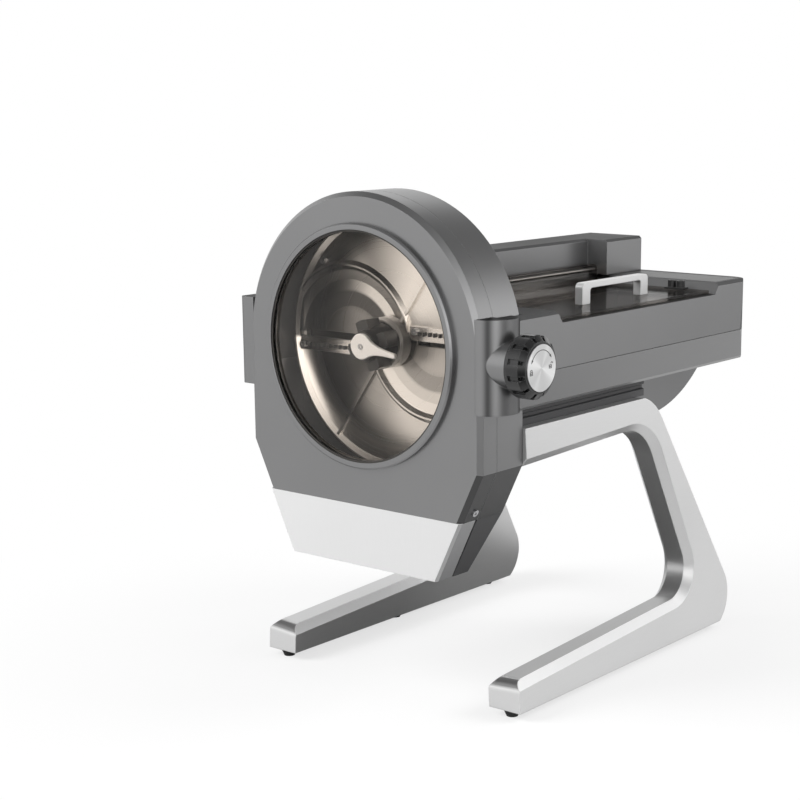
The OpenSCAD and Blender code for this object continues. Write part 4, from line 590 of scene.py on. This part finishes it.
def padlock(u, v, wide, high, lift, swing):
    """Small padlock sign: a barred body and a round shackle, lifted and swung aside when open."""
    half, bar = 1.7 * MM, 0.6 * MM
    body = [stroke([(u - half, v + k * MM), (u, v + k * MM), (u + half, v + k * MM)], bar, high)
            for k in (-2.4, -1.2, 0.0)]
    posts = [stroke([(u + k * MM, v - 2.7 * MM), (u + k * MM, v - 1.2 * MM), (u + k * MM, v + 0.3 * MM)], bar,
                    high * 0.96)
             for k in (-1.5, 1.5)]
    hoop = arc((u + swing, v + 0.6 * MM + lift), 1.2 * MM, 180, 0, 17)
    return body + posts + [stroke(hoop, wide, high)]


def on_face(parts, origin, across, up, out):
    """Carry (u, v, height) surfaces onto a face given by its origin and three directions."""
    basis = np.array([across, up, out], float)
    return [(grid @ basis + np.array(origin, float), faces) for grid, faces in parts]


# Stage

def softbox(name, aim, offset, side, power):
    """A square area lamp turned towards the machine; gloss mirrors the surroundings in its place."""
    lamp = bpy.data.lights.new(name, "AREA")
    lamp.shape = "RECTANGLE"
    lamp.size, lamp.size_y = side, side
    lamp.energy = power
    placed = bpy.data.objects.new(name, lamp)
    bpy.context.scene.collection.objects.link(placed)
    placed.visible_glossy = False
    placed.location = aim + Vector(offset)
    placed.rotation_mode = "QUATERNION"
    placed.rotation_quaternion = (aim - placed.location).to_track_quat("-Z", "Y")


def floor_finish():
    """Pale floor: white to the eye, whiter with distance, with the machine's shadow kept in part.

    What gloss mirrors of it changes from place to place: it is dark under the machine, dim beyond its right side,
    and has a bright spot in front.
    """
    f = Finish("pale_floor")
    ray = f.node("ShaderNodeLightPath")
    camera, gloss, through = [Wire(f.tree, ray.socket.node.outputs[n])
                              for n in ("Is Camera Ray", "Is Glossy Ray", "Is Transmission Ray")]
    x, y, _ = f.axes((0.0, 0.0, 0.0))
    far = length(x, y)
    grain = f.noise(3.0, 2.0)
    seen = (camera + through).clamped()
    level = seen * 0.45 + 0.35 + (grain - 0.5) * 0.02
    plain = f.node("ShaderNodeBsdfDiffuse", None, {"Color": f.blend(level, BLACK, WHITE)})
    white = f.node("ShaderNodeEmission", None, {"Color": WHITE, "Strength": 1.0})
    under = x.rise(-0.21, -0.15) * (1.0 - x.rise(0.10, 0.15)) * (1.0 - y.rise(0.24, 0.32)) * y.rise(-0.19, -0.16)
    dim = x.rise(0.40, 0.60) * (1.0 - y.rise(0.35, 0.75)) * y.rise(-1.5, -0.9)
    spot = 1.0 - (length(x - 0.2, y + 1.6) * 1.8).clamped()
    mirrored = (0.95 - dim * 0.75 + spot * 0.75) * (1.0 - under * 0.95)
    share = seen * (0.55 + far * 0.7).clamped(0.7, 1.0) + (1.0 - seen) * gloss
    glow = f.node("ShaderNodeEmission", None,
                  {"Color": f.blend((seen + mirrored * 0.5).clamped(), BLACK, WHITE), "Strength": 2.0})
    eye = f.node("ShaderNodeMixShader", None, {"Fac": seen, "Shader": glow, "Shader_001": white})
    return f.end(f.node("ShaderNodeMixShader", None, {"Fac": share, "Shader": plain, "Shader_001": eye}))


def studio_world(scene):
    """White surroundings to the eye; for the light a plain level; for gloss a bright horizon under a dim ceiling.

    The horizon is brighter beyond the machine, as seen by the camera, and there is a glow before it on the right.
    """
    world = bpy.data.worlds.new("studio")
    scene.world = world
    world.use_nodes = True
    tree = world.node_tree
    tree.nodes.clear()
    out = tree.nodes.new("ShaderNodeOutputWorld")
    ray = tree.nodes.new("ShaderNodeLightPath")
    seen = (Wire(tree, ray.outputs["Is Camera Ray"]) + Wire(tree, ray.outputs["Is Transmission Ray"])).clamped()
    gloss = Wire(tree, ray.outputs["Is Glossy Ray"])
    way = tree.nodes.new("ShaderNodeNewGeometry")
    split = tree.nodes.new("ShaderNodeSeparateXYZ")
    tree.links.new(way.outputs["Position"], split.inputs[0])
    right, depth, height = [Wire(tree, split.outputs[n]) for n in "XYZ"]
    beyond = (right * 0.61 + depth * 0.79).clamped() ** 4.0
    before = (-1.0 * depth).rise(0.2, 0.8) * (0.35 + right.rise(0.2, 0.6) * 1.5)
    low = 1.0 - (height - (-1.0 * right).rise(0.15, 0.45) * 0.2).rise(0.30, 0.55)
    band = CEILING_LEVEL + before + low * (HORIZON_LEVEL + beyond * 0.7)
    strength = seen + (1.0 - seen) * (gloss * band + (1.0 - gloss) * PLAIN_LEVEL)
    back = tree.nodes.new("ShaderNodeBackground")
    back.inputs["Color"].default_value = WHITE
    join(tree, back.inputs["Strength"], strength)
    tree.links.new(back.outputs[0], out.inputs["Surface"])


# Settings

class CutterColours(bpy.types.PropertyGroup):
    """Colours of the machine."""

    body: FloatVectorProperty(name="Body", description="Satin grey of the head and the body", subtype="COLOR",
                              size=3, min=0, max=1, default=(0.245, 0.245, 0.247))
    trim: FloatVectorProperty(name="Trim", description="Dark grey of rails, rear chute and hinge", subtype="COLOR",
                              size=3, min=0, max=1, default=(0.06, 0.06, 0.062))
    legs: FloatVectorProperty(name="Legs", description="Satin alloy of the legs", subtype="COLOR",
                              size=3, min=0, max=1, default=(0.68, 0.68, 0.68))
    plate: FloatVectorProperty(name="Chute plate", description="Pale coating of the chute plate", subtype="COLOR",
                               size=3, min=0, max=1, default=(0.80, 0.80, 0.80))
    steel: FloatVectorProperty(name="Steel", description="Polished steel of the cutter", subtype="COLOR",
                               size=3, min=0, max=1, default=(0.82, 0.79, 0.75))
    grip: FloatVectorProperty(name="Grips", description="Dark plastic of the lock knob", subtype="COLOR",
                              size=3, min=0, max=1, default=(0.042, 0.042, 0.043))
    silver: FloatVectorProperty(name="Silver", description="Satin silver of lid handle and knob face",
                                subtype="COLOR", size=3, min=0, max=1, default=(0.72, 0.72, 0.72))
    window: FloatVectorProperty(name="Window", description="Tint of the smoked window", subtype="COLOR",
                                size=3, min=0, max=1, default=(0.965, 0.945, 0.925))


class CutterSizes(bpy.types.PropertyGroup):
    """Sizes of the signs and of the view."""

    stroke: FloatProperty(name="Sign stroke", description="Width of the sign lines on the knob", unit="LENGTH",
                          default=0.55 * MM, min=0.2 * MM, max=2 * MM)
    raised: FloatProperty(name="Sign height", description="Height of the signs above the knob face", unit="LENGTH",
                          default=0.12 * MM, min=0.02 * MM, max=0.5 * MM)
    turn: FloatProperty(name="View turn", description="Camera angle round the machine in degrees", default=37.8)
    tilt: FloatProperty(name="View tilt", description="Camera angle above the table in degrees", default=11.9)
    reach: FloatProperty(name="View distance", description="Camera distance", unit="LENGTH", default=1.5782)


class CUTTER_OT_body(bpy.types.Operator):
    """Satin grey shells of the head and the body"""

    bl_idname = "cutter.body"
    bl_label = "Body shells"

    def execute(self, context):
        c = context.scene.cutter_colours
        axis = middle("hub_ring")
        low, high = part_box("front_cover")
        chamber = (Vector((axis.x, low.y + CHAMBER_START, axis.z)), (high.x - low.x) / 2 - CHAMBER_WALL)
        # Painted shade: the head's chamber inside and its faces that look down are darkened.
        dress(moulding("satin_grey_head", c.body, 0.32, metallic=0.9, chamber=chamber),
              "front_cover", "rear_head_housing")
        # Painted shade: the shells' faces that look up are a little darker.
        grey = moulding("satin_grey_shell", c.body, 0.32, metallic=0.9, top=0.85, graze=0.2)
        dress(ring_finish("satin_ring", c.body, axis, RING_LIP), "window_ring")
        low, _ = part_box("latch_column")
        column = Vector((low.x - COLUMN_INSET, low.y + COLUMN_RADIUS, low.z))
        # Painted reflection: light and dark bands round the latch column.
        dress(moulding("satin_grey_column", c.body, 0.32, metallic=0.9, top=0.85, graze=0.2, column=column),
              "latch_column")
        dress(grey, "hinge_block", "upper_body_shell", "hinge_tower", "lid_hinge_post", "motor_cowl")
        dress(moulding("satin_grey_lower_shell", shade(c.body, 0.97), 0.34, metallic=0.9), "lower_body_shell")
        dress(moulding("dark_trim", c.trim, 0.5), "leg_rails", "rear_chute", "door_hinge_bracket")
        dress(moulding("gloss_deck", (0.05, 0.05, 0.05), 0.34, 0.1, gloss=0.12), "deck_panel")
        return {"FINISHED"}


class CUTTER_OT_legs(bpy.types.Operator):
    """Satin alloy legs, rubber feet and rubber seals"""

    bl_idname = "cutter.legs"
    bl_label = "Legs"

    def execute(self, context):
        c = context.scene.cutter_colours
        dress(alloy("satin_leg_alloy", c.legs, 0.34, (1.0, 0.05, 1.0), 0.7, 0.05, 1.2 * MM, 0.9),
              "left_leg", "right_leg")
        dress(rubbery("foot_rubber", (0.018, 0.018, 0.018)), "rubber_feet", "door_gasket")
        dress(rubbery("seal_rubber", (0.055, 0.052, 0.048)), "window_seal")
        return {"FINISHED"}


class CUTTER_OT_window(bpy.types.Operator):
    """Smoked window and lid"""

    bl_idname = "cutter.window"
    bl_label = "Window and lid"

    def execute(self, context):
        c = context.scene.cutter_colours
        dress(smoked("smoked_window", c.window, 0.05, 0.2), "window_pane")
        dress(smoked("smoked_lid", (0.70, 0.68, 0.66), 0.08, 0.4), "lid_panel")
        return {"FINISHED"}


class CUTTER_OT_cutter(bpy.types.Operator):
    """Polished disc with its blades, hub and clamp"""

    bl_idname = "cutter.cutter"
    bl_label = "Cutter"

    def execute(self, context):
        c = context.scene.cutter_colours
        centre = middle("hub_ring")
        low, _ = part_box("cutter_disc")
        dress(spun_disc("spun_steel_disc", c.steel, 0.30, centre, low.y + DISC_FACE, POCKET_DROP, POCKET_SHIFT),
              "cutter_disc")
        dress(turned("turned_hub", c.steel, 0.26, centre, metallic=0.2), "hub_ring", "main_shaft")
        dress(alloy("ground_blade", c.steel, 0.22, (0.03, 1.0, 1.0)), "slicing_blades")
        dress(rubbery("comb_black", (0.02, 0.02, 0.02), 0.5), "blade_combs")
        dress(moulding("clamp_black", (0.030, 0.029, 0.028), 0.30, 0.4, 2.4), "clamp_knob")
        low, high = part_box("clamp_lever")
        droop = math.radians(LEVER_DROOP)
        along, up = (math.cos(droop), 0, -math.sin(droop)), (math.sin(droop), 0, math.cos(droop))
        plate = waisted_plate(LEVER_HEAD, LEVER_REACH, LEVER_TIP, high.y - low.y, LEVER_BEVEL)
        lever = sheet_mesh("waisted_lever", on_face([plate], (centre.x, high.y, centre.z), along, up, (0, -1, 0)))
        dress(alloy("lever_silver", (0.90, 0.89, 0.87), 0.34, (0.05, 1.0, 1.0), 0.1), lever)
        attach(lever, "clamp")
        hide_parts("clamp_lever")
        return {"FINISHED"}


class CUTTER_OT_knob(bpy.types.Operator):
    """Lock knob with its spun face and lock signs"""

    bl_idname = "cutter.knob"
    bl_label = "Lock knob"

    def execute(self, context):
        c = context.scene.cutter_colours
        s = context.scene.cutter_sizes
        # Painted highlight: the knob's rib edges are lightened strongly.
        dress(moulding("knob_dark", shade(c.grip, 0.4), 0.20, 0.2, 10.0, 0.6 * MM), "lock_grip")
        centre = middle("lock_face")
        dress(spun("spun_face", c.silver, centre), "lock_face")
        low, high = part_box("lock_face")
        r = (high.z - low.z) / 2
        wide, up = s.stroke, s.raised
        bend = arc((0, 0), 0.76 * r, 152, 38, 49)
        parts = [stroke(bend, wide, up)]
        for end, away in ((bend[0], bend[0] - bend[3]), (bend[-1], bend[-1] - bend[-4])):
            away = away / np.linalg.norm(away)
            tip = end + np.outer(np.linspace(-0.3, 1.0, 8), away) * 2.4 * MM
            parts.append(stroke(tip, np.linspace(1.9, 0.1, 8) * MM, up))
        for u, v, lift, swing in ((-0.73 * r, -0.10 * r, 0.0, 0.0), (0.60 * r, 0.06 * r, 0.5 * MM, 2.0 * MM)):
            parts += padlock(u, v, wide, up, lift, swing)
        face = (high.x, centre.y, centre.z), (0, 1, 0), (0, 0, 1), (1, 0, 0)
        signs = sheet_mesh("lock_signs", on_face(parts, *face))
        dress(rubbery("sign_ink", (0.03, 0.03, 0.03), 0.5, 2000.0), signs)
        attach(signs, "lock")
        return {"FINISHED"}


class CUTTER_OT_chute(bpy.types.Operator):
    """Pale coated chute plate"""

    bl_idname = "cutter.chute"
    bl_label = "Chute plate"

    def execute(self, context):
        c = context.scene.cutter_colours
        dress(coated_plate("pale_chute_plate", c.plate), "chute_plate")
        return {"FINISHED"}


class CUTTER_OT_feed(bpy.types.Operator):
    """Feed trough with its belt, rollers and lid handle"""

    bl_idname = "cutter.feed"
    bl_label = "Feed trough"

    def execute(self, context):
        c = context.scene.cutter_colours
        dress(alloy("trough_steel", (0.6, 0.6, 0.6), 0.32, (1.0, 0.04, 1.0)), "trough_liner", "bulkhead")
        dress(ribbed("feed_belt_rubber", (0.05, 0.06, 0.055), 6 * MM), "feed_belt")
        dress(ribbed("drive_belt_rubber", (0.03, 0.03, 0.03), 3 * MM), "drive_belt")
        dress(alloy("handle_silver", c.silver, 0.36, (1.0, 0.04, 1.0), 0.6, 0.2, 0.8 * MM), "lid_handle")
        dress(alloy("roller_steel", (0.6, 0.6, 0.6), 0.3, (0.04, 1.0, 1.0)), "front_roller", "rear_roller",
              "lid_hinge_rod", "door_hinge_pin")
        return {"FINISHED"}


class CUTTER_OT_drive(bpy.types.Operator):
    """Motors, wheels, fasteners and rear fittings"""

    bl_idname = "cutter.drive"
    bl_label = "Drive and fittings"

    def execute(self, context):
        zinc = alloy("zinc_plate", (0.5, 0.5, 0.51), 0.34, (1.0, 1.0, 1.0), 1.0, 0.2, 0.3 * MM)
        dress(zinc, "leg_bolts", "motor_bracket", "shaft_bearing", "latch_strike", "body_screws", "chute_screws",
              "lock_shaft", "lock_hook", "blade_screws", "clamp_screw", "handle_screws", "motor_wheel")
        dress(moulding("motor_paint", (0.05, 0.055, 0.065), 0.45), "drive_motor", "feed_motor")
        black = moulding("black_fitting", (0.02, 0.02, 0.02), 0.42, 0.6, 2.0)
        dress(black, "mains_inlet", "switch_frame", "roller_bearings", "large_wheel", "lid_catch")
        dress(moulding("rocker_red", (0.30, 0.02, 0.02), 0.25, 0.2), "switch_rocker")
        return {"FINISHED"}


class CUTTER_OT_stage(bpy.types.Operator):
    """Pale floor, soft studio light and the camera"""

    bl_idname = "cutter.stage"
    bl_label = "Stage"

    def execute(self, context):
        scene = context.scene
        s = scene.cutter_sizes
        zero = datum()
        corners = np.array([[[-1, -1, 0], [1, -1, 0]], [[-1, 1, 0], [1, 1, 0]]], float) * FLOOR_HALF
        floor = sheet_mesh("floor", [(corners, quads(2, 2))])
        dress(floor_finish(), floor)
        studio_world(scene)
        for name, offset, side, power in LAMPS:
            softbox(name, zero + Vector(LAMP_AIM), offset, side, power)
        a, e = math.radians(s.turn), math.radians(s.tilt)
        back = Vector((math.sin(a) * math.cos(e), -math.cos(a) * math.cos(e), math.sin(e)))
        lens = bpy.data.cameras.new("view")
        lens.sensor_width = SENSOR
        lens.lens = FOCAL_PIXELS / IMAGE_SIDE * SENSOR
        lens.shift_x = (IMAGE_SIDE / 2 - IMAGE_CENTRE[0]) / IMAGE_SIDE
        lens.shift_y = (IMAGE_CENTRE[1] - IMAGE_SIDE / 2) / IMAGE_SIDE
        lens.clip_start, lens.clip_end = 0.05, 60.0
        view = bpy.data.objects.new("view", lens)
        scene.collection.objects.link(view)
        view.location = zero + Vector(CAMERA_AIM) * MM + back * s.reach
        view.rotation_mode = "QUATERNION"
        view.rotation_quaternion = (-back).to_track_quat("-Z", "Y")
        scene.camera = view
        scene.view_settings.view_transform = "Standard"
        return {"FINISHED"}


class CUTTER_PT_panel(bpy.types.Panel):
    """The cutter's settings and pieces"""

    bl_idname = "CUTTER_PT_panel"
    bl_label = "Vegetable cutter"
    bl_space_type = "VIEW_3D"
    bl_region_type = "UI"
    bl_category = "Cutter"

    def draw(self, context):
        for group in (context.scene.cutter_colours, context.scene.cutter_sizes):
            for key in group.__annotations__:
                self.layout.prop(group, key)
        for step in STEPS:
            self.layout.operator(step.bl_idname)


STEPS = (CUTTER_OT_stage, CUTTER_OT_body, CUTTER_OT_legs, CUTTER_OT_window, CUTTER_OT_cutter, CUTTER_OT_knob,
         CUTTER_OT_chute, CUTTER_OT_feed, CUTTER_OT_drive)
CLASSES = (CutterColours, CutterSizes, *STEPS, CUTTER_PT_panel)


def register():
    for made in CLASSES:
        bpy.utils.register_class(made)
    bpy.types.Scene.cutter_colours = PointerProperty(type=CutterColours)
    bpy.types.Scene.cutter_sizes = PointerProperty(type=CutterSizes)


def unregister():
    del bpy.types.Scene.cutter_sizes
    del bpy.types.Scene.cutter_colours
    for made in reversed(CLASSES):
        bpy.utils.unregister_class(made)


def main():
    register()
    for step in STEPS:
        group, name = step.bl_idname.split(".")
        getattr(getattr(bpy.ops, group), name)()


if __name__ == "__main__":
    main()
